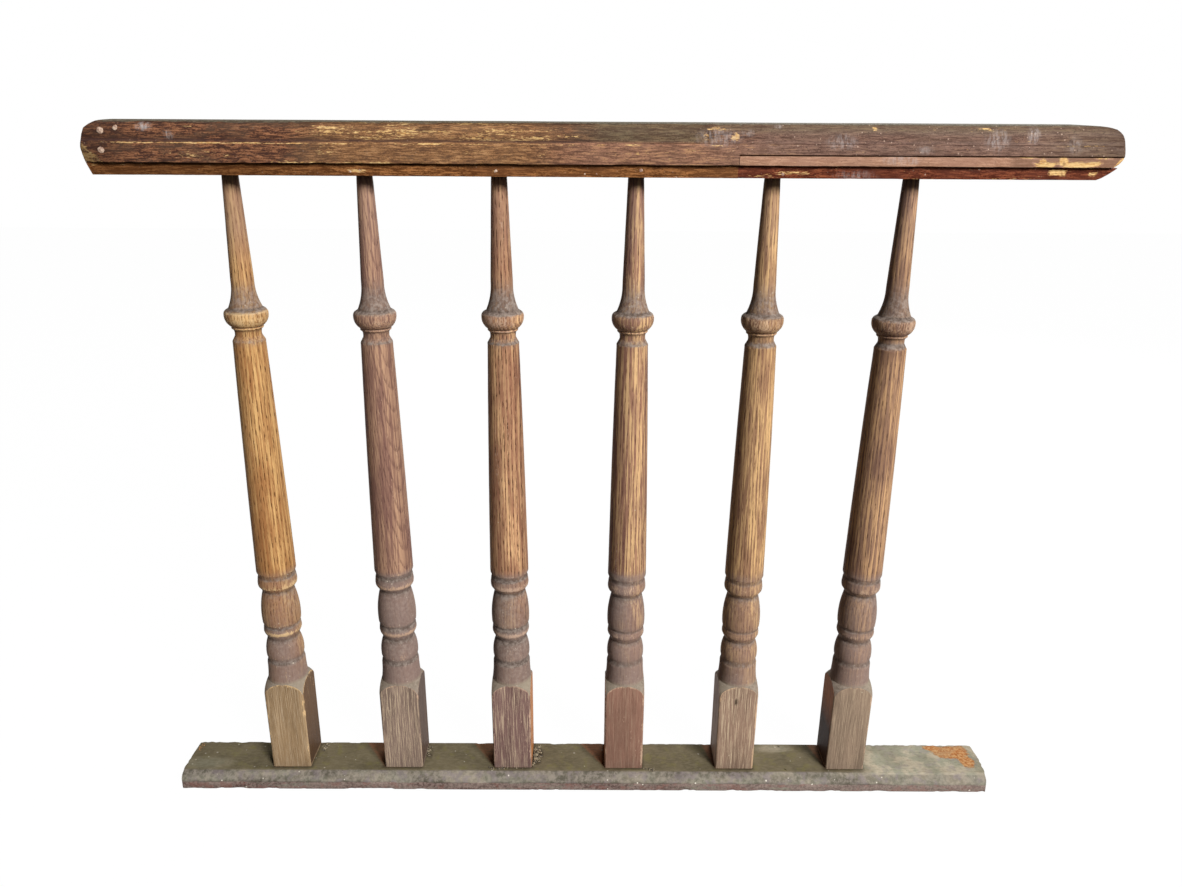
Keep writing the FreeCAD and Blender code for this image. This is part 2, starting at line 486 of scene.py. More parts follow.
def sawn_face(nodes, point, figure, look):
    """Faces of the square base, with fine dark and pale lines along the grain."""
    thread = nodes.noise(nodes.stretched(point, (1.0, 1.0, 0.014)), 1900.0, 3.0, 0.7)
    face = nodes.blend(nodes.ramp(figure, 0.4, 0.62), look["block"], darker(look["block"], 0.72))
    dark_lines = nodes.times(nodes.ramp(thread, 0.4, 0.46, 1.0, 0.0), 0.6 * look["stripe"])
    face = nodes.blend(dark_lines, face, darker(look["block"], 0.5))
    pale_lines = nodes.times(nodes.ramp(thread, 0.52, 0.6), look["stripe"])
    return nodes.blend(pale_lines, face, tone(212, 188, 158))


def baluster_oak(name, look, place):
    """Turned oak under a thin worn stain, with open pores, grimy turnings, dirt in the grooves, and painted
    shade on the left of the shafts, near their tops and on the bases.
    """
    material, nodes, shader, point = new_material(name)
    local = nodes.placed(point, place)
    inputs = {"Point": local, "Ring Width": look["ring"], "Wander": 0.007, "Tilt": look["tilt"]}
    grain = nodes.effect("Oak grain", inputs)
    fibre = grain["Fibre"]
    wood = nodes.blend(nodes.ramp(fibre, 0.44, 0.56), look["mid"], look["tan"])
    wood = nodes.blend(nodes.times(nodes.ramp(grain["Figure"], 0.46, 0.62), 0.6), wood, look["stain"])
    wood = nodes.blend(nodes.times(grain["Early"], 0.55 * look["porous"]), wood, look["stain"])
    # Old stain, and on the left of the shafts painted shade
    stain_and_shade_mask = nodes.times(nodes.value("stained"), nodes.ramp(fibre, 0.3, 0.6, 1.0, 0.4))
    wood = nodes.blend(stain_and_shade_mask, wood, darker(look["stain"], 0.75))
    # The film over the lower turnings, and painted shade near the top of the shaft
    wood = nodes.blend(nodes.value("film"), wood, tone(140, 118, 109))
    wood = nodes.blend(nodes.value("block"), wood, sawn_face(nodes, local, grain["Figure"], look))
    flank = nodes.blend(nodes.ramp(fibre, 0.35, 0.65), darker(look["flank"], 0.6), look["flank"])
    wood = nodes.blend(nodes.value("flank"), wood, flank)
    covered = nodes.plus(nodes.value("block"), nodes.value("film"))
    open_pores = nodes.times(grain["Pores"], nodes.ramp(covered, 0.0, 1.0, look["porous"], 0.15))
    wood = nodes.blend(open_pores, wood, look["pore"])
    loss = film_loss(nodes, local, nodes.value("worn"), 0.16)
    wood = nodes.blend(nodes.times(loss, 0.8), wood, look["rub"])
    open_side = nodes.ramp(nodes.upward(), -0.15, 0.35, 0.35, 1.0)
    hollow = nodes.scaled(nodes.value("grime"), open_side, nodes.times(nodes.value("hollow"), 0.7))
    dirt, grey = settled(nodes, point, hollow, look["dirt"])
    wood = nodes.blend(dirt, wood, grey)
    wood = nodes.blend(nodes.value("ledge"), wood, tone(150, 138, 120))
    grimy = nodes.times(nodes.value("grime"), 0.7)
    wood = sprinkled(nodes, point, 230.0, 0.2, wood, tone(206, 192, 174), grimy)
    uneven = nodes.ramp(nodes.noise(point, 120.0, 3.0, 0.6), 0.3, 0.65, 0.15, 0.65)
    wood = nodes.blend(nodes.times(nodes.value("groove"), uneven), wood, settings().finish.groove)
    # Painted shade under the subrail and on the bases, near black
    wood = nodes.blend(nodes.value("dim"), wood, tone(38, 28, 24))
    wood = nodes.blend(nodes.value("mark"), wood, tone(30, 24, 20))
    wood = sprinkled(nodes, point, 70.0, 0.07, wood, tone(222, 208, 180), 0.85)
    rough = nodes.scaled(dirt, 0.3, nodes.scaled(fibre, 0.2, 0.42))
    height = nodes.minus(nodes.times(fibre, 0.35), grain["Pores"])
    finish_shader(nodes, shader, wood, rough, height, 0.5, 0.0003)
    nodes.feed(shader["Specular IOR Level"], DULL)
    return material


def rail_wood(name, look):
    """Old flecked varnish, torn through to bare wood along the grain, with painted shade where the pieces
    mark it.
    """
    material, nodes, shader, point = new_material(name)
    lying = nodes.along_x(point)
    patch = nodes.noise(nodes.stretched(lying, (1.0, 1.0, 0.4)), 60.0, 4.0, 0.6)
    fleck = nodes.noise(nodes.stretched(lying, (1.0, 1.0, 0.12)), 640.0, 4.0, 0.7)
    grit = nodes.noise(nodes.stretched(lying, (1.0, 1.0, 0.4)), 1000.0, 3.0, 0.7)
    mixed = nodes.scaled(grit, 0.45, nodes.times(fleck, 0.55))
    film = nodes.blend(nodes.ramp(mixed, 0.46, 0.56), look["dark"], look["mid"])
    film = nodes.blend(nodes.times(nodes.ramp(patch, 0.46, 0.62), 0.6), film, look["cast"])
    regions = {key: nodes.value(key) for key in REGIONS if key in look}
    for key, region in regions.items():
        film = nodes.blend(nodes.times(region, nodes.ramp(mixed, 0.42, 0.58, 0.25, 1.0)), film, look[key])
    thread = nodes.noise(nodes.stretched(lying, (1.0, 1.0, 0.05)), 1300.0, 2.0, 0.5)
    film = nodes.blend(nodes.times(nodes.ramp(thread, 0.52, 0.62), 0.4), film, darker(look["dark"], 0.7))
    lively = nodes.scaled(regions.get("warm", 0.0), 0.6, 0.12)
    lively = nodes.scaled(regions.get("rosy", 0.0), 0.5, lively)
    film = nodes.blend(nodes.times(nodes.ramp(fleck, 0.55, 0.63), lively), film, look["fleck"])
    film = nodes.blend(nodes.times(nodes.ramp(grit, 0.56, 0.64), 0.7), film, darker(look["dark"], 0.5))
    bare = nodes.blend(nodes.ramp(mixed, 0.4, 0.58), tone(184, 136, 82), settings().finish.bare)
    loss = film_loss(nodes, lying, nodes.value("worn"), 0.1)
    wood = nodes.blend(loss, film, bare)
    # Darker where the pieces say so; on the subrails this includes the painted shadow of the handrail
    wood = nodes.blend(nodes.value("dark"), wood, darker(look["dark"], 0.45))
    flat = nodes.ramp(nodes.upward(), 0.75, 1.0)
    shades = (tone(78, 72, 60), tone(116, 107, 90))
    dirt, grey = settled(nodes, point, nodes.times(flat, 0.5), look["dirt"], shades, flat)
    wood = nodes.blend(dirt, wood, grey)
    # Hollows darker: old dirt, and in the quirk of the handrail painted shade as well
    wood = nodes.blend(nodes.times(nodes.value("hollow"), 0.7), wood, tone(64, 46, 44))
    scuffed = nodes.noise(nodes.stretched(point, (1.0, 0.6, 0.3)), 380.0, 5.0, 0.75)
    haze = nodes.times(nodes.value("haze"), nodes.ramp(scuffed, 0.38, 0.66))
    wood = nodes.blend(haze, wood, tone(190, 180, 176))
    specks = nodes.scaled(regions.get("grey", 0.0), 0.5, 0.15)
    wood = sprinkled(nodes, point, 300.0, 0.24, wood, tone(190, 162, 142), specks)
    rough = nodes.scaled(loss, 0.2, nodes.scaled(dirt, 0.3, 0.48))
    height = nodes.minus(nodes.times(mixed, 0.6), nodes.times(loss, 0.6))
    finish_shader(nodes, shader, wood, rough, height, 0.55, 0.0004)
    nodes.feed(shader["Specular IOR Level"], DULL)
    return material


def painted_rail(name):
    """Dirty olive paint on top, a gritty grey front edge, a purple-brown lower strip and a bare corner, with
    painted shade and shadows beside the bases.
    """
    material, nodes, shader, point = new_material(name)
    paint = settings().finish.paint
    local = nodes.placed(nodes.along_x(point), (0.01, 0.09, 0.0))
    inputs = {"Point": local, "Ring Width": 0.004, "Wander": 0.01, "Pore Length": 0.06}
    fibre = nodes.effect("Oak grain", inputs)["Fibre"]
    cloud = nodes.noise(point, 38.0, 5.0, 0.62)
    fine = nodes.noise(nodes.stretched(point, (0.35, 1.0, 1.0)), 420.0, 4.0, 0.65)
    moss = nodes.noise(point, 90.0, 3.0, 0.6)
    grit = nodes.noise(point, 320.0, 4.0, 0.7)
    film = nodes.blend(nodes.ramp(cloud, 0.34, 0.66), darker(paint, 0.72), paint)
    film = nodes.blend(nodes.times(nodes.ramp(fine, 0.42, 0.66), 0.3), film, tone(134, 124, 102))
    film = nodes.blend(nodes.times(nodes.ramp(moss, 0.5, 0.7), 0.35), film, tone(118, 112, 62))
    gritty = nodes.ramp(nodes.noise(point, 170.0, 4.0, 0.7), 0.36, 0.64)
    edge = nodes.blend(gritty, tone(88, 83, 72), tone(136, 127, 116))
    edge = nodes.blend(nodes.times(nodes.ramp(moss, 0.48, 0.62), 0.5), edge, tone(124, 112, 114))
    film = nodes.blend(nodes.value("front"), film, edge)
    pale = nodes.blend(nodes.ramp(cloud, 0.44, 0.58), tone(158, 156, 136), tone(190, 178, 156))
    pale = nodes.blend(nodes.times(nodes.ramp(moss, 0.52, 0.64), 0.6), pale, tone(156, 146, 144))
    haze = nodes.times(nodes.value("haze"), nodes.ramp(fine, 0.3, 0.55, 0.6, 1.0))
    film = nodes.blend(haze, film, pale)
    low = nodes.blend(nodes.ramp(grit, 0.36, 0.62), tone(82, 64, 59), tone(136, 116, 108))
    low = nodes.blend(nodes.times(nodes.ramp(moss, 0.5, 0.62), 0.5), low, tone(124, 76, 66))
    low = nodes.blend(nodes.times(nodes.value("haze"), 0.8), low, tone(176, 160, 148))
    film = nodes.blend(film_loss(nodes, local, nodes.value("strip"), 0.1), film, low)
    bare = nodes.blend(nodes.ramp(grit, 0.4, 0.58), tone(158, 98, 52), tone(196, 152, 104))
    bare = nodes.blend(nodes.times(nodes.ramp(fibre, 0.5, 0.66), 0.6), bare, tone(176, 108, 58))
    bare = nodes.blend(nodes.times(nodes.ramp(cloud, 0.46, 0.62), 0.5), bare, tone(160, 132, 100))
    loss = film_loss(nodes, point, nodes.value("worn"), 0.12)
    wood = nodes.blend(loss, film, bare)
    # Brown wedges of painted shadow beside the bases
    brown = nodes.times(nodes.value("brown"), nodes.ramp(fine, 0.25, 0.55))
    wood = nodes.blend(brown, wood, tone(150, 104, 76))
    # Dark holes, litter and seam, and painted shade around the bases
    wood = nodes.blend(nodes.value("dark"), wood, tone(46, 36, 28))
    pale_specks = nodes.scaled(nodes.value("front"), 0.6, 0.3)
    wood = sprinkled(nodes, point, 150.0, 0.2, wood, tone(224, 216, 200), pale_specks)
    wood = sprinkled(nodes, point, 310.0, 0.17, wood, tone(52, 42, 36), 0.65)
    height = nodes.scaled(loss, -0.8, nodes.times(fine, 0.7))
    finish_shader(nodes, shader, wood, nodes.scaled(fine, 0.25, 0.6), height, 0.6, 0.0005)
    nodes.feed(shader["Specular IOR Level"], DULL)
    return material


def plain_material(name, first, second, roughness):
    """A small mottled finish for filler and crumbs."""
    material, nodes, shader, point = new_material(name)
    mottle = nodes.noise(point, 420.0, 4.0, 0.6)
    shade = nodes.blend(nodes.ramp(mottle, 0.35, 0.65), first, second)
    finish_shader(nodes, shader, shade, nodes.scaled(mottle, 0.2, roughness), mottle, 0.5, 0.0003)
    return material


# Outlines and meshes


def bowed(start, end, bulge, step):
    """Points of a straight or bowed edge; the bulge lies to the right of the way from start to end."""
    start = np.array(start, float)
    end = np.array(end, float)
    chord = end - start
    size = float(np.hypot(*chord))
    count = max(2, int(math.ceil(size / step)))
    t = np.linspace(0.0, 1.0, count, endpoint=False)
    points = start + t[:, None] * chord
    if bulge:
        out = np.array([chord[1], -chord[0]]) / size
        radius = (size * size / 4 + bulge * bulge) / (2 * abs(bulge))
        off = np.sqrt(np.maximum(radius**2 - ((t - 0.5) * size) ** 2, 0.0)) - (radius - abs(bulge))
        points = points + np.sign(bulge) * off[:, None] * out
    return points


def drawn(steps, step, closed):
    """Points along a chain of steps, each x, z and the bulge of the edge that leads on."""
    parts = []
    last = len(steps) if closed else len(steps) - 1
    for i in range(last):
        here = steps[i]
        there = steps[(i + 1) % len(steps)]
        parts.append(bowed(here[:2], there[:2], here[2], step))
    if not closed:
        parts.append(np.array([steps[-1][:2]], float))
    return np.vstack(parts)


def evenly(points, step, closed):
    """The same line with points at an even distance."""
    line = np.vstack([points, points[:1]]) if closed else points
    gone = np.concatenate([[0.0], np.cumsum(np.hypot(*np.diff(line, axis=0).T))])
    count = int(round(gone[-1] / step))
    want = np.linspace(0.0, gone[-1], count, endpoint=not closed)
    return np.column_stack([np.interp(want, gone, line[:, k]) for k in range(2)])


def softened(points, step, reach, closed):
    """The line with its corners eased over a short reach."""
    half = int(math.ceil(3 * reach / step))
    weight = np.exp(-0.5 * (np.arange(-half, half + 1) * step / reach) ** 2)
    weight /= weight.sum()
    if closed:
        padded = np.vstack([points[-half:], points, points[:half]])
    else:
        before = 2 * points[0] - points[half:0:-1]
        after = 2 * points[-1] - points[-2 : -half - 2 : -1]
        padded = np.vstack([before, points, after])
    return np.column_stack([np.convolve(padded[:, k], weight, "valid") for k in range(2)])


def outward(points, closed):
    """Normals that lie to the right of the way along the line."""
    if closed:
        way = np.roll(points, -1, axis=0) - np.roll(points, 1, axis=0)
    else:
        way = np.gradient(points, axis=0)
    way /= np.maximum(np.hypot(*way.T), 1e-9)[:, None]
    return np.column_stack([way[:, 1], -way[:, 0]])


def relief(points, step, reach, closed):
    """How far each point lies below (above 0) or proud of (below 0) the line around it."""
    around = softened(points, step, reach, closed)
    return np.sum((around - points) * outward(points, closed), axis=1)


def thinned(points, fine, coarse, step, closed):
    """Indices of the points to keep: close together where the line bends, far apart where it is straight."""
    normal = outward(points, closed)
    turn = np.hypot(*np.gradient(normal, axis=0).T) / step
    turn = np.convolve(turn, np.ones(9) / 9, "same")
    gap = np.clip(0.12 / np.maximum(turn, 1e-6), fine, coarse)
    keep = [0]
    run = 0.0
    for i in range(1, len(points)):
        run += step / gap[i]
        if run >= 1.0:
            keep.append(i)
            run = 0.0
    if not closed and keep[-1] != len(points) - 1:
        keep.append(len(points) - 1)
    return np.array(keep)


CELLS = 97  # cells of the noise before it repeats


def lattice(u, v, step_u, step_v, seed):
    """Smooth seeded noise between -1 and 1 over two coordinates."""
    values = np.random.default_rng(seed).uniform(-1.0, 1.0, (CELLS, CELLS))
    a = np.asarray(u) / step_u
    b = np.asarray(v) / step_v
    i = np.floor(a).astype(int)
    j = np.floor(b).astype(int)
    s = a - i
    t = b - j
    s = s * s * (3 - 2 * s)
    t = t * t * (3 - 2 * t)
    left, right = i % CELLS, (i + 1) % CELLS
    near, far = j % CELLS, (j + 1) % CELLS
    low = values[left, near] * (1 - s) + values[right, near] * s
    high = values[left, far] * (1 - s) + values[right, far] * s
    return low * (1 - t) + high * t


def rising(value, start, run):
    """0 up to a start, then evenly up to 1 over a run; with a run below 0, the same towards lower values."""
    return np.clip((value - start) / run, 0.0, 1.0)


def band(value, middle, reach, order=2):
    """1 at the middle and 0 well beyond the reach; a higher even order makes the top flatter."""
    return np.exp(-(((value - middle) / reach) ** order))


def most(*masks):
    """The strongest of several masks at each point."""
    return np.maximum.reduce(np.broadcast_arrays(*masks))


def rubbed(u, v, marks, hard=1.6):
    """Strength of the strongest mark at each point; a mark is centre, half sizes in mm and strength."""
    amount = np.zeros_like(u)
    for cu, cv, hu, hv, strength in marks:
        away = ((u / MM - cu) / hu) ** 2 + ((v / MM - cv) / hv) ** 2
        amount = np.maximum(amount, strength * np.clip(hard * (1.0 - away), 0.0, 1.0))
    return amount


def new_piece(name, mesh, material):
    """An object at the origin for a finished mesh."""
    piece = bpy.data.objects.new(name, mesh)
    bpy.context.scene.collection.objects.link(piece)
    if material is not None and not mesh.materials:
        mesh.materials.append(material)
    return piece


def keep_values(mesh, name, values):
    """Keeps one value for each point of a mesh."""
    layer = mesh.attributes.get(name) or mesh.attributes.new(name, "FLOAT", "POINT")
    layer.data.foreach_set("value", np.asarray(values, dtype=np.float32))


def turned_out(mesh, crease):
    """Faces turned outwards, smooth where they bend by less than the crease in degrees."""
    shell = bmesh.new()
    shell.from_mesh(mesh)
    bmesh.ops.recalc_face_normals(shell, faces=shell.faces[:])
    shell.to_mesh(mesh)
    shell.free()
    mesh.shade_smooth()
    mesh.set_sharp_from_angle(angle=math.radians(crease))


CAP_RINGS = 6  # shrinking rings that close one end of a rail


def end_cap(ring):
    """Rings that shrink from the end of a rail to its middle."""
    middle = ring.mean(axis=0)
    shrink = 1 - 0.999 * (np.arange(1, CAP_RINGS + 1) / CAP_RINGS) ** 1.6
    return middle + (ring - middle) * shrink[:, None, None]


def ring_mesh(name, rings, values, reshape, crease=45):
    """A closed skin over rings of points, with capped ends that are then cut to shape."""
    layers = np.concatenate([end_cap(rings[0])[::-1], rings, end_cap(rings[-1])])
    index = np.arange(layers.shape[0] * layers.shape[1]).reshape(layers.shape[:2])
    beside = np.roll(index, -1, axis=1)
    sides = np.stack([index[:-1], beside[:-1], beside[1:], index[1:]], axis=2).reshape(-1, 4)
    ends = [index[0].tolist(), index[-1, ::-1].tolist()]
    mesh = bpy.data.meshes.new(name)
    mesh.from_pydata(reshape(layers.reshape(-1, 3)).tolist(), [], sides.tolist() + ends)
    for key, value in values.items():
        padded = np.pad(value, ((CAP_RINGS, CAP_RINGS), (0, 0)), mode="edge")
        keep_values(mesh, key, padded.ravel())
    turned_out(mesh, crease)
    return mesh


def finish_piece(piece, node):
    """Says what a finished piece stands for."""
    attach(piece, "root")
    if node:
        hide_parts(node)


END_STATIONS = 14  # places close together near each end of a rail


def stations_between(left, right, step, ease_left, ease_right):
    """Places along a rail, close together near its ends."""
    first = left + ease_left * (1 - np.cos(np.linspace(0, math.pi / 2, END_STATIONS, endpoint=False)))
    last = right - ease_right * (1 - np.cos(np.linspace(math.pi / 2, 0, END_STATIONS)))
    middle = np.linspace(left + ease_left, right - ease_right, int((right - left) / step), endpoint=False)
    return np.concatenate([first, middle, last])


# Balusters

SPRING = 96.0  # height where the arches start at the corners of the square base, in millimetres
CROWN = 110.0  # height of the arches at the middle of a face
ROUNDING = 0.46  # how round the arches are: 1 is a plain cone cut by the faces, 0.5 a full round


def turned_steps(sizes):
    """Half outline of the turned length, from the crown of the arches up; heights are from the foot."""
    half = sizes.side / 2 / MM
    full = half - 0.6
    top = sizes.length / MM
    return [
        (half, CROWN, -0.4),
        (full - 0.8, 132.0, -0.2),
        (full - 1.9, 136.8, -0.2),
        (full - 1.1, 140.6, 1.4),
        (full - 4.5, 163.5, -0.2),
        (full - 1.5, 170.3, 0.5),
        (full - 1.5, 176.0, 0.3),
        (full - 2.0, 179.5, -0.2),
        (full - 0.9, 183.0, 1.75),
        (full - 4.8, 222.0, -0.2),
        (full - 1.1, 227.8, 0.5),
        (full - 1.1, 235.0, 0.3),
        (full - 1.9, 239.5, -0.4),
        (full - 0.5, 245.0, 0.4),
        (15.6, top - 159.5, 0.4),
        (15.0, top - 157.0, 0),
        (12.7, top - 152.6, -0.2),
        (13.0, top - 147.4, -0.2),
        (15.1, top - 145.5, 0.2),
        (15.1, top - 144.2, 0),
        (14.6, top - 143.6, 0),
        (15.8, top - 143.0, 1.5),
        (20.8, top - 132.0, 0.5),
        (19.4, top - 127.6, 0),
        (16.0, top - 125.6, -1.6),
        (10.9, top - 99.0, 0),
        (7.5, top, 0),
        (0, top, 0),
    ]


def baluster_profile(sizes):
    """Rows of the outline: radius and height, the marks of hollows and edges, and the arches' rows."""
    step = 0.25
    line = evenly(drawn(turned_steps(sizes), 0.5, False), step, False)
    line = softened(line, step, 0.38, False)
    line[:, 0] = np.maximum(line[:, 0], 0.0)
    line[0] = (sizes.side / 2 / MM, CROWN)
    line[-1, 0] = 0.0
    fine = relief(line, step, 1.7, False)
    broad = relief(line, step, 5.0, False)
    keep = thinned(line, 0.6, 4.0, step, False)[1:]
    corner = (sizes.side / math.sqrt(2) - sizes.ease) / MM
    block = [(0.0, 0.0)] + [(corner, z) for z in np.linspace(0.0, SPRING, 26, endpoint=False)]
    arch = np.linspace(0.0, 1.0, 13)
    rows = np.vstack([block, [(corner, SPRING)] * len(arch), line[keep]])
    before = len(block) + len(arch)
    turned = rising(line[keep, 1], 128.0, 6.0)
    mesh = bpy.data.meshes.new("baluster_profile")
    edges = [(i, i + 1) for i in range(len(rows) - 1)]
    mesh.from_pydata([(r * MM, 0.0, z * MM) for r, z in rows], edges, [])
    keep_values(mesh, "arch", np.concatenate([np.full(len(block), -1.0), arch, np.full(len(keep), 2.0)]))
    for name, value in (("hollow", broad / 1.1), ("groove", fine / 0.5), ("edge", -fine / 0.4)):
        shown = np.clip(value[keep], 0.0, 1.0) * turned
        keep_values(mesh, name, np.concatenate([np.zeros(before), shown]))
    return new_piece("baluster_profile", mesh, None), len(rows)


def picked(nodes, geometry, value, row, kind="FLOAT"):
    """A value of the profile at one row."""
    inputs = {"Geometry": geometry, "Value": value, "Index": row}
    return nodes.put("GeometryNodeSampleIndex", inputs, data_type=kind).outputs[0]


def arched(nodes, given, arch, flat):
    """Radius and height in the rows of the arches, where the turned shoulder meets the flat faces."""
    half = nodes.times(given["Side"], 0.5)
    corner = nodes.minus(nodes.times(half, math.sqrt(2)), given["Ease"])
    drop = nodes.minus(corner, half)
    meets = nodes.clamped(nodes.math("DIVIDE", nodes.minus(corner, flat), drop))
    meets = nodes.math("POWER", meets, ROUNDING)
    lower = nodes.clamped(nodes.times(arch, 2.0))
    upper = nodes.clamped(nodes.scaled(arch, 2.0, -1.0))
    rest = nodes.times(nodes.minus(1.0, meets), upper)
    share = nodes.scaled(meets, lower, rest)
    fallen = nodes.times(drop, nodes.math("POWER", share, 1.0 / ROUNDING))
    height = nodes.scaled(share, (CROWN - SPRING) * MM, SPRING * MM)
    return nodes.minus(corner, fallen), height


def spun(nodes, given, spot, arch, turn):
    """A point of the profile turned around the axis, held within the square stock, then leant and sagged."""
    cosine = nodes.math("COSINE", turn)
    sine = nodes.math("SINE", turn)
    widest = nodes.math("MAXIMUM", nodes.math("ABSOLUTE", cosine), nodes.math("ABSOLUTE", sine))
    flat = nodes.math("DIVIDE", nodes.times(given["Side"], 0.5), widest)
    arch_radius, arch_height = arched(nodes, given, arch, flat)
    on_arch = nodes.math("LESS_THAN", nodes.math("ABSOLUTE", nodes.minus(arch, 0.5)), 0.75)
    radius = nodes.math("MINIMUM", nodes.either(on_arch, spot["X"], arch_radius), flat)
    height = nodes.either(on_arch, spot["Z"], arch_height)
    leant = nodes.times(given["Lean"], nodes.math("DIVIDE", height, given["Length"]))
    low_part = nodes.times(nodes.ramp(height, 0.137, 0.2), nodes.ramp(height, 0.28, 0.42, 1.0, 0.0))
    high_part = nodes.times(nodes.ramp(height, 0.44, 0.505), nodes.ramp(height, 0.56, 0.64, 1.0, 0.0))
    sagged = nodes.scaled(given["Drop"], high_part, nodes.scaled(given["Sink"], low_part, height))
    return nodes.joined(nodes.scaled(radius, cosine, leant), nodes.times(radius, sine), sagged)


def lathe_tree():
    """Turns a profile around the axis, leaves the square stock below, and wears and leans it."""
    nodes, given, result = new_group(
        "Turned from square stock",
        "GeometryNodeTree",
        [
            ("Profile", "NodeSocketObject", None),
            ("Rows", "NodeSocketInt", 200),
            ("Around", "NodeSocketInt", 128),
            ("Side", "NodeSocketFloat", 0.0435),
            ("Ease", "NodeSocketFloat", 0.0009),
            ("Length", "NodeSocketFloat", 0.653),
            ("Lean", "NodeSocketFloat", 0.0),
            ("Sink", "NodeSocketFloat", 0.0),
            ("Drop", "NodeSocketFloat", 0.0),
            ("Place", "NodeSocketVector", None),
            ("Dents", "NodeSocketFloat", 0.0003),
            ("Chips", "NodeSocketFloat", 0.001),
            ("Seed", "NodeSocketFloat", 0.0),
            ("Wood", "NodeSocketMaterial", None),
        ],
        [("Geometry", "NodeSocketGeometry")],
    )
    source = nodes.put("GeometryNodeObjectInfo", {"Object": given["Profile"]}).outputs["Geometry"]
    columns = nodes.plus(given["Around"], 1.0)
    size = {"Size X": 1.0, "Size Y": 1.0, "Vertices X": columns, "Vertices Y": given["Rows"]}
    shape = nodes.put("GeometryNodeMeshGrid", size).outputs["Mesh"]
    here = nodes.parts(nodes.position())
    even = nodes.times(nodes.plus(here["X"], 0.5), math.tau)
    turn = nodes.scaled(nodes.math("SINE", nodes.times(even, 4.0)), 0.15, even)
    last = nodes.minus(given["Rows"], 1.0)
    row = nodes.math("ROUND", nodes.times(nodes.plus(here["Y"], 0.5), last))
    spot = nodes.parts(picked(nodes, source, nodes.position(), row, "FLOAT_VECTOR"))
    names = ("arch", "hollow", "groove", "edge")
    kept = {name: picked(nodes, source, nodes.named(name), row) for name in names}
    for name, value in kept.items():
        inputs = {"Geometry": shape, "Name": name, "Value": value}
        store = nodes.put("GeometryNodeStoreNamedAttribute", inputs, data_type="FLOAT", domain="POINT")
        shape = store.outputs[0]
    shape = nodes.step("SetPosition", shape, Position=spun(nodes, given, spot, kept["arch"], turn))
    shape = nodes.step("MergeByDistance", shape, Distance=0.00002)
    seed = nodes.joined(given["Seed"], given["Seed"], given["Seed"])
    point = nodes.shifted(nodes.position(), seed)
    slow = nodes.noise(nodes.stretched(point, (1.0, 1.0, 0.45)), 75.0, 3.0, 0.55)
    dents = nodes.times(nodes.minus(slow, 0.56), given["Dents"])
    broken = nodes.ramp(nodes.noise(point, 210.0, 3.0, 0.6), 0.5, 0.72)
    chips = nodes.times(nodes.times(nodes.named("edge"), broken), given["Chips"])
    level = {0: nodes.parts(nodes.position())["Z"], 1: 0.0005}
    off_seat = nodes.put("FunctionNodeCompare", level, data_type="FLOAT", operation="GREATER_THAN").outputs[0]
    shape = nodes.push(shape, nodes.minus(dents, chips), Selection=off_seat)
    shape = nodes.step("Transform", shape, Translation=given["Place"])
    shape = nodes.step("RealizeInstances", shape)
    shape = nodes.step("SetMaterial", shape, Material=given["Wood"])
    nodes.feed(result[0], shape)
    return nodes.tree


def made_by_nodes(name, tree, values, base=None):
    """Runs a geometry node tree and gives its result as a plain mesh."""
    holder = new_piece(name + "_holder", base or bpy.data.meshes.new(name + "_base"), None)
    modifier = holder.modifiers.new("make", "NODES")
    modifier.node_group = tree
    for item in tree.interface.items_tree:
        if item.in_out == "INPUT" and item.name in values:
            modifier[item.identifier] = values[item.name]
    bpy.context.view_layer.update()
    graph = bpy.context.evaluated_depsgraph_get()
    mesh = bpy.data.meshes.new_from_object(holder.evaluated_get(graph))
    mesh.name = name
    holder.modifiers.remove(modifier)
    bpy.data.objects.remove(holder)
    if not mesh.polygons:
        raise RuntimeError(name + " came out empty")
    return mesh


def point_values(mesh, name):
    """The values kept under a name, one for each point."""
    values = np.empty(len(mesh.vertices), dtype=np.float32)
    mesh.attributes[name].data.foreach_get("value", values)
    return values.astype(float)


def point_vectors(mesh, name):
    """The places or the normals of the points, as three rows."""
    values = np.empty(len(mesh.vertices) * 3, dtype=np.float32)
    mesh.vertices.foreach_get(name, values)
    return values.reshape(-1, 3).astype(float).T


def oak(tones, moved, **look):
    """Tones, grain and small differences of one baluster; shift, lean, sink and drop are in millimetres."""
    look.update({key: tone(*value) for key, value in tones.items()})
    look.update({key: value * MM for key, value in zip(("shift", "lean", "sink", "drop"), moved)})
    return look
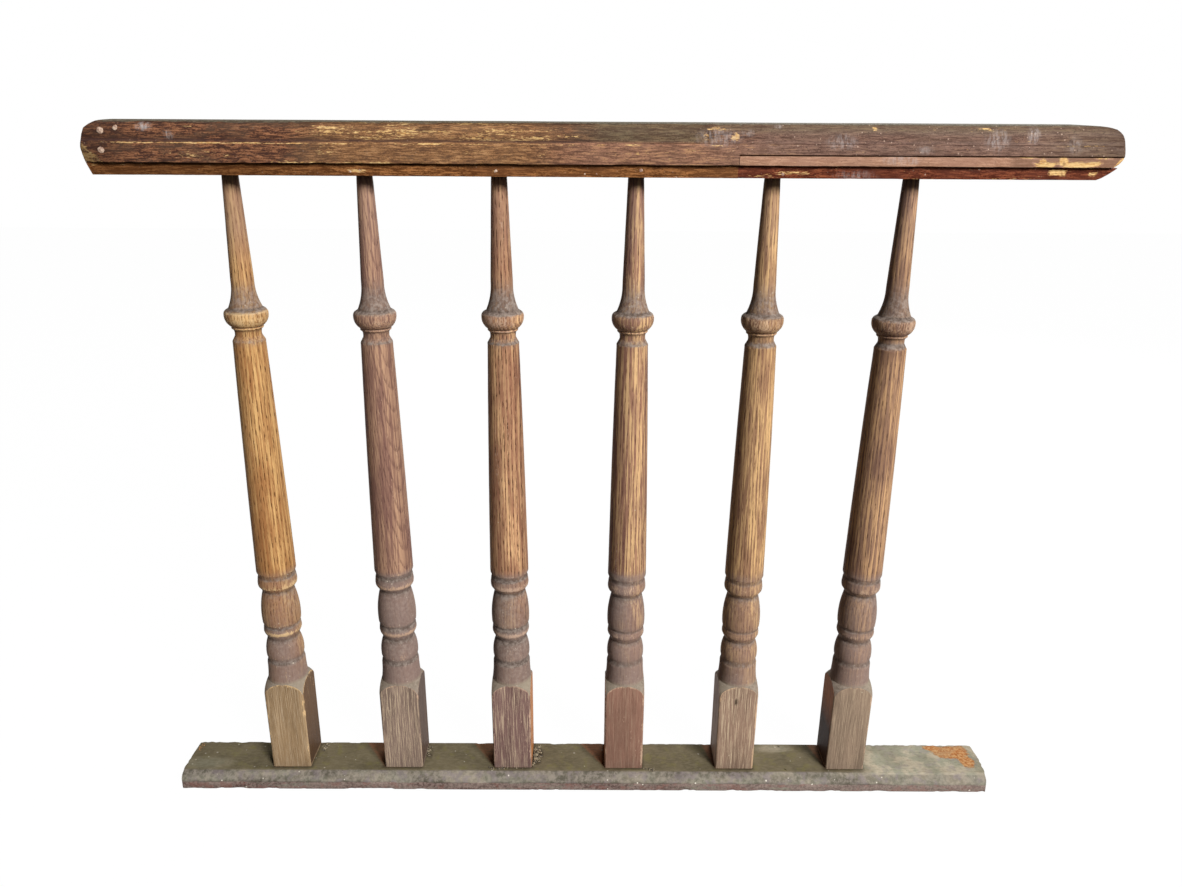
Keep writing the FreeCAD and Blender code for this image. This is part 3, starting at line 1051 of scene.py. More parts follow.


# In each, the three stain amounts are what is left of the stain left and right of the shaft and on the lower
# turnings; the amount on the left of the shaft also paints in shade there. Where given, the neck, flank and
# left-side amounts are painted shade
BALUSTERS = [
    oak(
        {
            "tan": (214, 170, 112), "mid": (178, 132, 84), "stain": (150, 96, 56), "pore": (78, 48, 28),
            "block": (168, 139, 104), "flank": (102, 73, 51), "rub": (226, 190, 140),
        },
        (-0.4, 4.4, -1.2, 1.0),
        stripe=0.5, porous=0.9, dirt=0.75, ring=0.0034, tilt=0.0, pith=(0.1, 0.03, 0.0),
        stained=(0.1, 0.4, 0.4), neck=0.5, flank_shade=0.35,
    ),
    oak(
        {
            "tan": (180, 142, 114), "mid": (138, 104, 88), "stain": (114, 80, 74), "pore": (70, 46, 42),
            "block": (146, 124, 110), "flank": (86, 66, 56), "rub": (200, 166, 138),
        },
        (1.6, 0.7, 0.0, 0.0),
        stripe=0.8, porous=0.5, dirt=0.9, ring=0.0024, tilt=0.13, pith=(0.04, -0.03, 0.1),
        stained=(0.2, 0.3, 0.75),
    ),
    oak(
        {
            "tan": (224, 180, 132), "mid": (178, 132, 98), "stain": (132, 90, 72), "pore": (64, 38, 28),
            "block": (128, 99, 93), "flank": (206, 132, 70), "rub": (200, 168, 144),
        },
        (-0.2, 0.8, -1.2, 0.0),
        stripe=0.7, porous=1.0, dirt=1.1, ring=0.0032, tilt=0.01, pith=(0.11, -0.02, 0.2),
        stained=(0.2, 0.9, 0.5),
    ),
    oak(
        {
            "tan": (214, 174, 126), "mid": (158, 118, 94), "stain": (118, 82, 74), "pore": (76, 48, 38),
            "block": (150, 112, 95), "flank": (206, 132, 72), "rub": (200, 168, 142),
        },
        (0.2, 1.3, -5.0, -1.0),
        stripe=0.2, porous=0.7, dirt=0.9, ring=0.0036, tilt=0.01, pith=(-0.1, 0.04, 0.3),
        stained=(0.8, 0.6, 0.75),
    ),
    oak(
        {
            "tan": (216, 175, 123), "mid": (164, 127, 94), "stain": (124, 88, 72), "pore": (76, 50, 36),
            "block": (158, 130, 110), "flank": (244, 226, 214), "rub": (206, 172, 138),
        },
        (0.7, 0.9, -4.9, -2.0),
        stripe=0.8, porous=0.7, dirt=0.9, ring=0.0034, tilt=0.02, pith=(0.12, 0.02, 0.4),
        stained=(0.7, 0.1, 0.45), knots=[(188.4, 109.4, 2.6, 2.8, 1.0)],
    ),
    oak(
        {
            "tan": (194, 153, 112), "mid": (146, 113, 90), "stain": (104, 76, 68), "pore": (62, 42, 34),
            "block": (150, 128, 108), "flank": (206, 132, 84), "rub": (192, 160, 134),
        },
        (1.2, 2.9, -2.4, -4.0),
        stripe=0.35, porous=0.7, dirt=1.0, ring=0.0036, tilt=0.01, pith=(0.09, -0.05, 0.5),
        stained=(0.75, 0.1, 0.75), dark_left=True,
    ),
]
# Heights from the foot, in metres: the grooves of the lower turnings, and its beads with their reach
COVES = (0.137, 0.179, 0.24)
BEADS = ((0.172, 0.003), (0.2295, 0.0035))


class BALUSTRADE_OT_balusters(bpy.types.Operator):
    """Turn the row of balusters from square oak"""

    bl_idname = "balustrade.balusters"
    bl_label = "Turned balusters"

    def execute(self, context):
        sizes = settings().baluster
        profile, rows = baluster_profile(sizes)
        tree = lathe_tree()
        for i in range(sizes.count):
            x = (i - (sizes.count - 1) / 2) * sizes.pitch
            look = BALUSTERS[i % len(BALUSTERS)]
            middle = x + look["shift"]
            pith = look["pith"]
            wood = baluster_oak("oak_baluster_%d" % (i + 1), look, (pith[0] - x, pith[1], pith[2]))
            values = {
                "Profile": profile,
                "Rows": rows,
                "Around": sizes.around,
                "Side": sizes.side,
                "Ease": sizes.ease,
                "Length": sizes.length,
                "Lean": look["lean"],
                "Sink": look["sink"],
                "Drop": look["drop"],
                "Place": (middle, 0.0, sizes.seat),
                "Dents": sizes.dent,
                "Chips": sizes.chip,
                "Seed": 3.7 * (i + 1),
                "Wood": wood,
            }
            name = "baluster_%d" % (i + 1)
            mesh = made_by_nodes("worn_" + name, tree, values)
            turned_out(mesh, 30)
            for key, value in self.paint(mesh, look, middle, i).items():
                keep_values(mesh, key, value)
            finish_piece(new_piece("worn_" + name, mesh, wood), name)
        bpy.data.objects.remove(profile)
        return {"FINISHED"}

    def paint(self, mesh, look, middle, seed):
        """Values that the finish of one baluster reads at each point."""
        sizes = settings().baluster
        x, depth, z = point_vectors(mesh, "co")
        turn, _, up = point_vectors(mesh, "normal")
        arch = point_values(mesh, "arch")
        across = x - middle
        height = z - sizes.seat
        below = sizes.length - height
        patches = lattice(x + depth, z, 0.03, 0.06, 40 + seed)

        # Square base and the arches above it
        square = arch < 0.51
        spandrel = (arch > 0.54) & (arch < 1.5)
        side = square & (np.abs(turn) > 0.9)
        toward_middle = across * middle < 0
        low_end = rising(height, 0.085, -0.085)
        # Painted shade: the base darker towards its foot, some side faces darker towards the foot, the top of
        # the shaft darker in the shadow of the subrail, and where the look asks for it the left face of the
        # base nearly black
        shade = 0.2 * low_end**2 * square + look.get("flank_shade", 0.0) * low_end * side
        shade = shade + 0.75 * rising(below, 0.011, -0.011)
        shadowed_side = side & (across < 0) & look.get("dark_left", False)
        corner_start = sizes.side / math.sqrt(2) - sizes.ease - 0.0012
        corner = rising(np.hypot(across, depth), corner_start, 0.0012) * square
        broken = np.clip(0.5 + lattice(z, x, 0.007, 0.03, 60 + seed), 0.0, 1.0)
        arris = rising(np.abs(arch - 0.5), 0.12, -0.12)
        foot = 0.4 * rising(height, 0.014, -0.014) * square

        # Turnings
        cup_rim = band(below, 0.1278, 0.0012)
        cup = band(below, 0.136, 0.008, 4)
        shoulder = band(below, 0.1578, 0.0022)
        throat = band(below, 0.1495, 0.0055, 4)
        flare = band(below, 0.113, 0.014)
        neck = rising(below, 0.1, -0.05)
        lower = np.where(arch > 0.54, rising(height, 0.25, -0.006), 0.0)
        bowl = rising(height, 0.182, -0.004)
        coves = most(*(band(height, level, 0.004, 4) for level in COVES))
        beads = most(*(band(height, level, reach) for level, reach in BEADS))

        # Stain left on the shaft; on the left side, away from the light, it is also painted shade
        left, right, low = look["stained"]
        facing = np.where(depth < 0, turn, 0.0)
        stained = left * rising(facing, 0.05, -0.5) + right * rising(facing, 0.6, 0.15)
        edge = point_values(mesh, "edge") * np.clip(0.7 - 2.0 * up, 0.25, 1.0)
        worn = 0.2 + 0.75 * edge + 0.7 * corner * broken + 0.65 * arris
        worn = worn + 0.6 * cup_rim + 0.3 * cup + 0.4 * beads + 0.2 * patches
        grime = lower * (0.45 + 0.75 * coves) * (1.0 + 0.7 * patches) * (1.0 - 0.6 * beads)
        film = (low + 0.25 * bowl) * lower * (1.0 + 0.5 * patches) + 0.3 * flare
        # The film near the top of the shaft is painted shade below the subrail
        film = film + look.get("neck", 0.2) * neck
        return {
            "block": square,
            "flank": np.where(side, np.where(toward_middle, 0.9, 0.25), 0.0),
            "dim": np.where(shadowed_side, np.minimum(2.2 * low_end, 0.95), shade),
            "hollow": point_values(mesh, "hollow") * (1.0 - 0.85 * throat),
            "stained": np.clip(stained * (1.0 + patches) * (arch > 1.5), 0.0, 0.9),
            "worn": np.clip(worn, 0.0, 1.0),
            "ledge": np.where(spandrel, 0.55 + 0.3 * patches, 0.0),
            "grime": most(grime, 0.5 * spandrel, foot, 0.85 * flare, 0.8 * shoulder),
            "film": np.clip(film, 0.0, 0.9),
            "mark": np.where(depth < -0.018, rubbed(x, z, look.get("knots", [])), 0.0),
        }


# Handrail, repair strip and subrail

# Worn, hazy and dark places on the front of the handrail: x, z and half sizes in millimetres, and strength
WORN_FRONT = [
    (-336, 713.5, 9, 1, 0.6), (-275, 714, 9, 1, 0.6), (-238, 710, 6, 1, 0.6), (-205, 710, 7, 3, 0.6),
    (-163, 710, 45, 3, 0.6), (-134, 713.5, 15, 2.5, 0.55), (-80, 708, 18, 3.5, 0.62),
    (-19, 707, 8, 3, 0.6), (61, 700.5, 11, 1.2, 0.6), (134, 714.3, 13, 1.8, 0.85), (151, 707.5, 5, 5, 0.8),
    (125, 707.5, 4, 4.5, 0.6), (134, 700, 9, 1.4, 0.7), (374, 715, 5, 1.2, 0.8),
    (-337, 688.5, 21, 1.8, 0.6), (-302, 688.8, 6, 1.3, 0.55), (-212, 692.5, 15, 6, 0.46),
    (-239, 684, 30, 0.9, 0.72), (-178, 683.7, 35, 1, 0.66), (-74, 694.5, 36, 4, 0.46),
    (-19, 692.3, 9, 6, 0.42), (71, 690.4, 48, 6, 0.36), (110, 695, 28, 1.5, 0.5),
    (464, 701.3, 33, 0.7, 0.5), (274, 715.5, 3, 2.5, 0.7),
]
HAZE_FRONT = [
    (-374, 713.7, 9, 4.5, 0.75), (-352, 706.6, 5, 4.5, 0.6), (136, 707, 24, 9, 0.45),
    (162, 711, 6, 4, 0.5), (189, 716.5, 5, 1.8, 0.6), (246, 703.5, 16, 8, 0.4), (351, 718.9, 2, 1.3, 0.85),
    (384, 705.5, 13, 11, 0.5), (416, 710, 7, 9, 0.6), (320, 697, 10, 4.5, 0.35), (454, 702, 8, 9, 0.3),
]
DARK_FRONT = [
    (450, 705.9, 1.8, 1.1, 1.0), (-125, 712.6, 8, 2.9, 0.6), (-408, 703, 20, 3.3, 0.45),
    (-385, 713.6, 1.5, 1.1, 0.7), (258, 694.9, 4.4, 1, 0.6),
]
# The same on the front of the repair strip
WORN_STRIP = [
    (416, 691.8, 18, 1.4, 0.9), (430, 686, 15, 3.6, 1.1), (462, 685.6, 26, 3.4, 1.1), (445, 689, 5, 5, 1.1),
    (427, 689.5, 4, 2.4, 0.9), (482, 691.8, 14, 1.6, 0.9), (499, 688, 4, 6, 1.0),
]
DARK_STRIP = [(294.8, 686.7, 1.0, 0.8, 0.9), (447, 687, 1.6, 1.2, 0.9)]
HAZE_STRIP = [(300, 688, 20, 5, 0.4)]
# The same on the two lengths of subrail
WORN_LEFT = [
    (-424, 679.5, 6, 2.2, 0.75), (-406, 681.4, 10, 1.1, 0.6), (-188, 676.5, 12, 3, 0.6),
    (-64, 677.4, 4, 2.8, 0.55), (64, 677.4, 8, 3.3, 0.55), (111, 673.5, 14, 2.2, 0.4),
]
WORN_RIGHT = [
    (180, 674.5, 22, 3, 0.6), (206, 676.8, 19, 2.2, 0.62), (443, 678.5, 12, 3.6, 1.0),
    (480, 677, 8, 2.6, 0.9), (347, 672.2, 90, 0.8, 0.5),
]
HAZE_SUBRAIL = [(262, 675, 24, 3.5, 0.4)]
# How far the ends stand back at a height above the underside, in millimetres
LEFT_END = [(0, 1.3), (14, 0), (24, 3.2), (29.2, 5.7), (33, 11.2), (35.8, 16.8), (37, 22)]
RIGHT_END = [
    (0, 8.5), (4.5, 2.2), (9.5, 0), (14, 0.4), (23.4, 2.8), (28, 5.2), (32.3, 10.5), (34.3, 17.1),
    (35.3, 25.1), (36.1, 38), (37, 46),
]
SUBRAIL_LEFT_END = [(0, 4.6), (11, 0)]
SUBRAIL_RIGHT_END = [(0, 21), (2, 16), (5.5, 10), (9, 5), (11, 2.5)]
SQUARE_END = [(0, 0)]
HANDRAIL_RUNS = (0.07, 0.11)  # how far the shape of the two ends reaches along the handrail
SUBRAIL_RUNS = (0.02, 0.06)
PLAN_EASE = 0.004  # rounding of the handrail's corners in plan


def set_back(points, span, base, left_end, right_end, runs):
    """Moves the two ends along X by an amount that depends on the height."""
    height = (points[..., 2] - base) / MM
    moved = points.copy()
    for edge, end, run, way in ((span[0], left_end, runs[0], 1.0), (span[1], right_end, runs[1], -1.0)):
        away = np.clip(way * (points[..., 0] - edge) / run, 0.0, 1.0)
        depth = np.interp(height, [h for h, _ in end], [d for _, d in end]) * MM
        moved[..., 0] += way * depth * (1.0 - away) ** 2
    return moved


def eased_reach(x, span, half, ease):
    """Half width of a rail with rounded corners in plan, at each place along it."""
    near = np.clip(np.minimum(x - span[0], span[1] - x) / ease, 0.0, 1.0)
    return (half - ease * (1.0 - np.sqrt(1.0 - (1.0 - near) ** 2)))[:, None]


def box_outline(width, height):
    """Section of a plain strip in millimetres, from its middle and its underside."""
    half = width / 2
    return [(half, 0, 0), (half, height, 0), (-half, height, 0), (-half, 0, 0)]


def handrail_outline(sizes):
    """Section of the handrail in millimetres from its middle and its underside."""
    half = sizes.width / 2 / MM
    band_top = sizes.band / MM
    top = (node_high("handrail")[2] - node_low("handrail")[2]) / MM
    return [
        (half, 0, 0),
        (half, band_top, 0),
        (half - sizes.quirk / MM, band_top + 1.9, 2.6),
        (half - 6.2, top - 1.6, 1.6),
        (-half + 6.2, top - 1.6, 2.6),
        (-half + sizes.quirk / MM, band_top + 1.9, 0),
        (-half, band_top, 0),
        (-half, 0, 0),
    ]


def swept(section_steps, x, ease, wear, seed, fine=0.6, coarse=3.2):
    """Rings of a section along X, with wear along its edges; gives points, hollows and edges."""
    step = 0.2
    line = evenly(drawn(section_steps, 0.4, True), step, True)
    line = softened(line, step, ease, True)
    depth = relief(line, step, 1.6, True)
    normal = outward(line, True)
    keep = thinned(line, fine, coarse, step, True)
    line, depth, normal = line[keep] * MM, depth[keep], normal[keep]
    edge = np.clip(-depth / 0.32, 0.0, 1.0)
    arc = np.cumsum(np.hypot(*np.diff(line, axis=0, prepend=line[:1]).T))
    u, v = np.meshgrid(x, arc, indexing="ij")
    broken = lattice(u, v, 0.017, 0.03, seed) + 0.6 * lattice(u, v, 0.0045, 0.012, seed + 1)
    wave = 0.12 * lattice(u, v, 0.06, 0.02, seed + 2) - 0.12
    push = wear * wave - wear * (0.12 + np.clip(broken, 0.0, 1.0)) * edge
    y = line[:, 0] + normal[:, 0] * push
    z = line[:, 1] + normal[:, 1] * push
    hollow = np.broadcast_to(np.clip(depth / 0.3, 0.0, 1.0), u.shape)
    edges = edge * np.clip(0.55 + lattice(u, v, 0.05, 0.03, seed + 3), 0.0, 1.0)
    return u, y, z, hollow, edges


def window(value, start, end, fade):
    """1 between two lengths and fading to 0 beyond them."""
    return np.clip(1.0 - np.maximum(start - value, value - end) / fade, 0.0, 1.0)


class BALUSTRADE_OT_handrail(bpy.types.Operator):
    """Shape the worn handrail with its moulded sides and cut ends"""

    bl_idname = "balustrade.handrail"
    bl_label = "Handrail"

    def execute(self, context):
        sizes = settings().handrail
        low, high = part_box("handrail")
        cut = node_low("repair_strip")[0]
        x = stations_between(low[0], high[0], 0.0019, 0.016, 0.028)
        x = np.sort(np.concatenate([x[np.abs(x - cut) > 0.0004], [cut, cut]]))
        notched = np.arange(len(x)) > np.searchsorted(x, cut)
        u, y, z, hollow, edges = swept(handrail_outline(sizes), x, 0.4, sizes.wear, 11)
        half = sizes.width / 2
        side = np.where(y > 0, -u, u)
        y = y + np.sign(y) * 0.0011 * hollow * rising(side, 0.0, 0.08)
        y, z = self.let_in(y, z, notched, half, sizes)
        z = z + low[2]
        reach = eased_reach(x, (low[0], high[0]), half, PLAN_EASE)
        points = np.stack([u, np.clip(y, -reach, reach), z], axis=2)
        values = self.paint(points, half, edges)
        # The quirk is darkened with dirt and painted shade, most on the left
        values["hollow"] = hollow * np.clip(1.0 - side / 0.06, 0.2, 1.0)
        values["worn"] = np.maximum(values["worn"], 0.85 * self.corner_cut(self.ends(points))[1])
        mesh = ring_mesh("worn_handrail", points, values, self.cut_ends)
        look = {
            "dark": tone(70, 47, 39),
            "mid": tone(154, 104, 74),
            "cast": tone(92, 72, 58),
            "warm": tone(156, 114, 76),
            "rosy": tone(160, 118, 95),
            "grey": tone(130, 103, 91),
            "olive": tone(104, 94, 74),
            "fleck": tone(178, 136, 96),
            "dirt": 0.9,
        }
        piece = new_piece("worn_handrail", mesh, rail_wood("handrail_varnish", look))
        finish_piece(piece, "handrail")
        return {"FINISHED"}

    def paint(self, points, half, edges):
        """Where the varnish is worn, hazy, dark, warm, rosy, grey or olive; the back repeats the front."""
        u, y, z = np.moveaxis(points, 2, 0)
        face = np.abs(y) > half - 0.009
        side = np.where(y > 0, -u, u)
        roll = rising(z, 0.7015, 0.002)
        upper = rising(z, 0.7085, 0.005)
        arris = band(z, 0.7, 0.0007) * window(side, -0.39, 0.03, 0.03)
        flecks = roll * window(side, -0.2, -0.02, 0.06) * (0.5 + 0.3 * lattice(u, z, 0.03, 0.003, 25))
        worn = most(
            np.where(face, rubbed(side, z, WORN_FRONT), 0.0),
            0.16 + 0.12 * lattice(u, z, 0.05, 0.004, 19),
            arris * np.clip(0.72 + 0.4 * lattice(u, z, 0.02, 0.1, 23), 0.0, 1.0),
            flecks,
            0.42 * edges * (side < 0.03),
        )
        dark = most(
            np.where(face & (y < 0), rubbed(u, z, DARK_FRONT), 0.0),
            0.6 * rising(z, 0.7155, 0.002) * window(side, -0.5, 0.01, 0.03),
            0.5 * rising(side, -0.38, -0.035),
            0.35 * rising(side, 0.47, 0.03),
        )
        olive = most(
            0.95 * roll * window(side, 0.03, 0.115, 0.03),
            0.75 * upper * rising(side, 0.1, 0.05),
            0.5 * rising(side, 0.4, 0.06),
        )
        return {
            "worn": worn,
            "haze": np.where(face, rubbed(side, z, HAZE_FRONT, 1.0), 0.0),
            "dark": dark,
            "warm": window(side, -0.2, -0.04, 0.05),
            "rosy": (1.0 - roll) * window(side, 0.02, 0.17, 0.05),
            "grey": rising(side, 0.12, 0.06),
            "olive": olive,
        }

    def let_in(self, y, z, notched, half, sizes):
        """Pushes the lower front edge in where the repair strip sits."""
        depth, height = sizes.strip_depth, sizes.strip_height
        rows = notched[:, None]
        face = rows & (y < -half + 0.0012) & (z < height)
        under = rows & (y < -half + depth) & (z < 0.0006) & ~face
        along_face = np.clip((height - z) / height, 0.0, 1.0)
        along_under = np.clip((y + half) / depth, 0.0, 1.0)
        new_y = np.where(face, -half + depth * along_face, np.where(under, -half + depth, y))
        new_z = np.where(face, height, np.where(under, height * (1 - along_under), z))
        return new_y, new_z

    def ends(self, points):
        """The rail with its two worn ends."""
        low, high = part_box("handrail")
        return set_back(points, (low[0], high[0]), low[2], LEFT_END, RIGHT_END, HANDRAIL_RUNS)

    def corner_cut(self, points):
        """Cuts the lower left front corner to a worn slope and says where it is bare."""
        low = node_low("handrail")
        a = Vector((low[0] + 0.0016, low[1], low[2] + 0.0165))
        b = Vector((low[0] + 0.02, low[1], low[2] - 0.0005))
        c = Vector((low[0] + 0.0035, low[1] + 0.0045, low[2]))
        normal = (b - a).cross(c - a).normalized()
        n = np.array(-normal if normal.x > 0 else normal)
        past = (points - np.array(a)) @ n
        return points - np.maximum(past, 0.0)[..., None] * n, np.clip(1.0 + past / 0.0016, 0.0, 1.0)

    def cut_ends(self, points):
        """The rail with its worn ends and its worn corner."""
        return self.corner_cut(self.ends(points))[0]


class BALUSTRADE_OT_repair_strip(bpy.types.Operator):
    """Let the repair strip into the lower front edge of the handrail"""

    bl_idname = "balustrade.repair_strip"
    bl_label = "Repair strip"

    def execute(self, context):
        sizes = settings().handrail
        low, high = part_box("repair_strip")
        rail_low, rail_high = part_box("handrail")
        x = stations_between(low[0] + 0.0004, high[0], 0.0021, 0.006, 0.01)
        outline = box_outline(sizes.strip_depth / MM, sizes.strip_height / MM)
        u, y, z, hollow, edges = swept(outline, x, 0.3, 0.0006, 31)
        y = y + low[1] + sizes.strip_depth / 2
        z = z + low[2]
        reach = eased_reach(x, (rail_low[0], rail_high[0]), sizes.width / 2, PLAN_EASE)
        points = np.stack([u, np.maximum(y, -reach), z], axis=2)
        worn = most(rubbed(u, z, WORN_STRIP), 0.14 + 0.1 * lattice(u, z, 0.03, 0.003, 33), 0.4 * edges)
        dark_end = 0.6 * rising(u, 0.394, 0.008) * (worn < 0.4)
        values = {
            "hollow": 0.6 * hollow,
            "worn": worn,
            "haze": rubbed(u, z, HAZE_STRIP),
            "dark": np.maximum(rubbed(u, z, DARK_STRIP), dark_end),
        }
        span = (low[0], rail_high[0])
        cut = partial(
            set_back,
            span=span,
            base=rail_low[2],
            left_end=SQUARE_END,
            right_end=RIGHT_END,
            runs=HANDRAIL_RUNS,
        )
        mesh = ring_mesh("worn_repair_strip", points, values, cut)
        look = {
            "dark": tone(154, 114, 91),
            "mid": tone(188, 146, 120),
            "cast": tone(160, 122, 102),
            "fleck": tone(190, 150, 122),
            "dirt": 0.3,
        }
        piece = new_piece("worn_repair_strip", mesh, rail_wood("repair_stain", look))
        finish_piece(piece, "repair_strip")
        return {"FINISHED"}


class BALUSTRADE_OT_subrails(bpy.types.Operator):
    """Lay the two lengths of subrail under the handrail"""

    bl_idname = "balustrade.subrails"
    bl_label = "Subrail"

    def execute(self, context):
        fleck = tone(166, 104, 60)
        left = {"dark": tone(88, 52, 26), "mid": tone(160, 108, 64), "cast": tone(104, 66, 40)}
        right = {"dark": tone(74, 33, 21), "mid": tone(135, 74, 50), "cast": tone(98, 52, 38)}
        for look in (left, right):
            look.update(fleck=fleck, dirt=0.3)
        self.lay("subrail_left", WORN_LEFT, 51, left, SUBRAIL_LEFT_END, SQUARE_END, "subrail_wood")
        self.lay("subrail_right", WORN_RIGHT, 61, right, SQUARE_END, SUBRAIL_RIGHT_END, "subrail_dark_wood")
        return {"FINISHED"}

    def lay(self, node, bare, seed, look, left_end, right_end, slot):
        """One length with its sloped outer end and worn lower edge."""
        low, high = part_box(node)
        width, height = high[1] - low[1], high[2] - low[2]
        x = stations_between(low[0], high[0], 0.0023, 0.012, 0.03)
        u, y, z, hollow, edges = swept(box_outline(width / MM, height / MM), x, 0.35, 0.0008, seed)
        z = z + low[2]
        side = np.where(y < 0, u, -u)
        worn = most(rubbed(side, z, bare), 0.16 + 0.14 * lattice(u, z, 0.04, 0.004, seed + 5), 0.4 * edges)
        # Painted shadow of the handrail along the top of both faces
        handrail_shadow = rising(z, low[2] + 0.7 * height, height) * (np.abs(y) > width / 2 - 0.001)
        values = {
            "hollow": 0.6 * hollow,
            "worn": worn,
            "haze": rubbed(u, z, HAZE_SUBRAIL, 1.0),
            # Darker towards the left end, plus the painted shadow of the handrail
            "dark": 0.45 * rising(u, -0.2, -0.1) + 0.25 * handrail_shadow,
        }
        span = (low[0], high[0])
        ends = {"left_end": left_end, "right_end": right_end}
        cut = partial(set_back, span=span, base=low[2], runs=SUBRAIL_RUNS, **ends)
        mesh = ring_mesh("worn_" + node, np.stack([u, y, z], axis=2), values, cut)
        finish_piece(new_piece("worn_" + node, mesh, rail_wood(node + "_varnish", look)), node)


# Bottom rail

# Places on the top of the bottom rail: x, y and half sizes in millimetres, and strength
BARE_TOP = [
    (452, 8, 27, 14, 1.25), (466, -8, 11, 15, 1.1), (434, 16, 16, 6, 1.1), (466, 14, 10, 9, 1.1),
    (-436, 12, 5, 12, 0.6),
]
HAZE_TOP = [(242, 14, 27, 9, 0.45), (-420, -16, 40, 12, 0.3)]
HOLES_TOP = [(250.5, 17.6, 1.2, 1.0, 1.0), (250, -22.8, 1.3, 1.0, 1.0)]
LITTER_TOP = [(-37, 0, 8, 19, 0.9), (-165, 2, 6, 16, 0.7)]


class BALUSTRADE_OT_bottom_rail(bpy.types.Operator):
    """Shape the bottom rail with its bevelled and worn front edge"""

    bl_idname = "balustrade.bottom_rail"
    bl_label = "Bottom rail"

    def execute(self, context):
        sizes = settings().rail
        low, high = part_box("bottom_rail")
        x = stations_between(low[0], high[0], 0.0021, 0.008, 0.008)
        top = high[2] / MM
        front = low[1] / MM
        back = high[1] / MM
        bevel = sizes.bevel / MM
        steps = [
            (back, 0, 0),
            (back, top, 0),
            (front + bevel, top, 0.4),
            (front, top - bevel, 0),
            (front, 0.3, 0),
            (front + 0.3, 0, 0),
        ]
        u, y, z, _, edges = swept(steps, x, 0.35, sizes.wear, 71, 0.6, 2.4)
        z = np.clip(z, low[2], high[2])
        reach = eased_reach(x, (low[0], high[0]), 0.0, 0.0018)
        y = np.clip(y, low[1] - reach, high[1] + reach)
        values = self.paint(u, y, z, low, high, sizes.bevel)
        values["worn"] = np.maximum(values["worn"], 0.25 * edges)
        mesh = ring_mesh("worn_bottom_rail", np.stack([u, y, z], axis=2), values, self.ragged, 50)
        piece = new_piece("worn_bottom_rail", mesh, painted_rail("bottom_rail_paint"))
        finish_piece(piece, "bottom_rail")
        return {"FINISHED"}

    def ragged(self, points):
        """The rail with its right end broken off unevenly at the front."""
        low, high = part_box("bottom_rail")
        x, y, z = points.T
        teeth = 0.5 + 0.5 * lattice(y, z, 0.004, 0.005, 73)
        broken = 0.0026 * rising(y, -0.006, -0.026) + 0.0012 * teeth
        moved = points.copy()
        moved[:, 0] -= rising(x, high[0] - 0.02, 0.02) ** 2 * broken
        moved[:, 0] += rising(x, low[0] + 0.02, -0.02) ** 2 * 0.0009 * teeth
        return moved

    def paint(self, u, y, z, low, high, bevel):
        """Where the paint is grey, pale, bare, dark or gone, with painted shade around the bases and brown
        painted shadows beside them.
        """
        upper = z > high[2] - 0.0012
        front = rising(y, low[1] + bevel + 0.0016, -0.0012)
        strip = rising(z, high[2] - bevel + 0.0008, -0.0016) * rising(y, -0.03, -0.004)
        strip = most(
            strip * (0.95 + 0.15 * lattice(u, z, 0.03, 0.005, 75)),
            np.where(y > high[1] - 0.001, 0.7, 0.0),
            np.where(z < 0.0005, 0.8, 0.0),
        )
        right_end = rising(u, 0.325, 0.03) * (0.75 + 0.2 * lattice(u, y, 0.02, 0.012, 81))
        haze = most(
            np.where(upper, rubbed(u, y, HAZE_TOP, 1.0), 0.0),
            0.3 * front * np.clip(0.5 + lattice(u, z, 0.04, 0.006, 77), 0.0, 1.0),
            right_end * np.where(upper, 1.0, 0.45),
            0.3 * strip * rising(u, 0.05, 0.2) * (y < 0),
        )
        litter = rubbed(u, y, LITTER_TOP, 2.0) * np.clip(0.7 + lattice(u, y, 0.004, 0.004, 83), 0.0, 1.0)
        seam = band(z, high[2] - bevel, 0.0006) * (y < low[1] + 0.002)
        around, brown = self.beside_bases(u, y)
        dark = most(
            np.where(upper, most(rubbed(u, y, HOLES_TOP), litter, around), 0.0),
            0.5 * seam * np.clip(0.7 + lattice(u, z, 0.02, 0.1, 79), 0.0, 1.0),
        )
        return {
            "front": front,
            "strip": strip,
            "worn": np.where(upper, np.maximum(rubbed(u, y, BARE_TOP), 0.1), 0.1),
            "haze": haze,
            "dark": dark,
            "brown": np.where(upper, brown, 0.0),
        }

    def beside_bases(self, u, y):
        """Painted shade in a narrow ring around the square bases, and brown wedges of painted shadow to the
        left of them.
        """
        baluster = settings().baluster
        half = baluster.side / 2
        around, brown = np.zeros_like(u), np.zeros_like(u)
        for i in range(baluster.count):
            middle = (i - (baluster.count - 1) / 2) * baluster.pitch
            away = np.hypot(np.maximum(np.abs(u - middle) - half, 0.0), np.maximum(np.abs(y) - half, 0.0))
            around = np.maximum(around, 0.7 * rising(away, 0.004, -0.004))
            # Each wedge has the shape of the shadow that the base casts to the back left
            longest = 0.03 if 0 < i < 4 else 0.012
            reach = rising(y, -half, 2 * half) * longest
            wedge = rising(reach - (middle - half - u), 0.0, 0.003) * (u < middle) * (y > -half)
            brown = np.maximum(brown, 0.8 * wedge)
        return around, brown


# Filler and crumbs

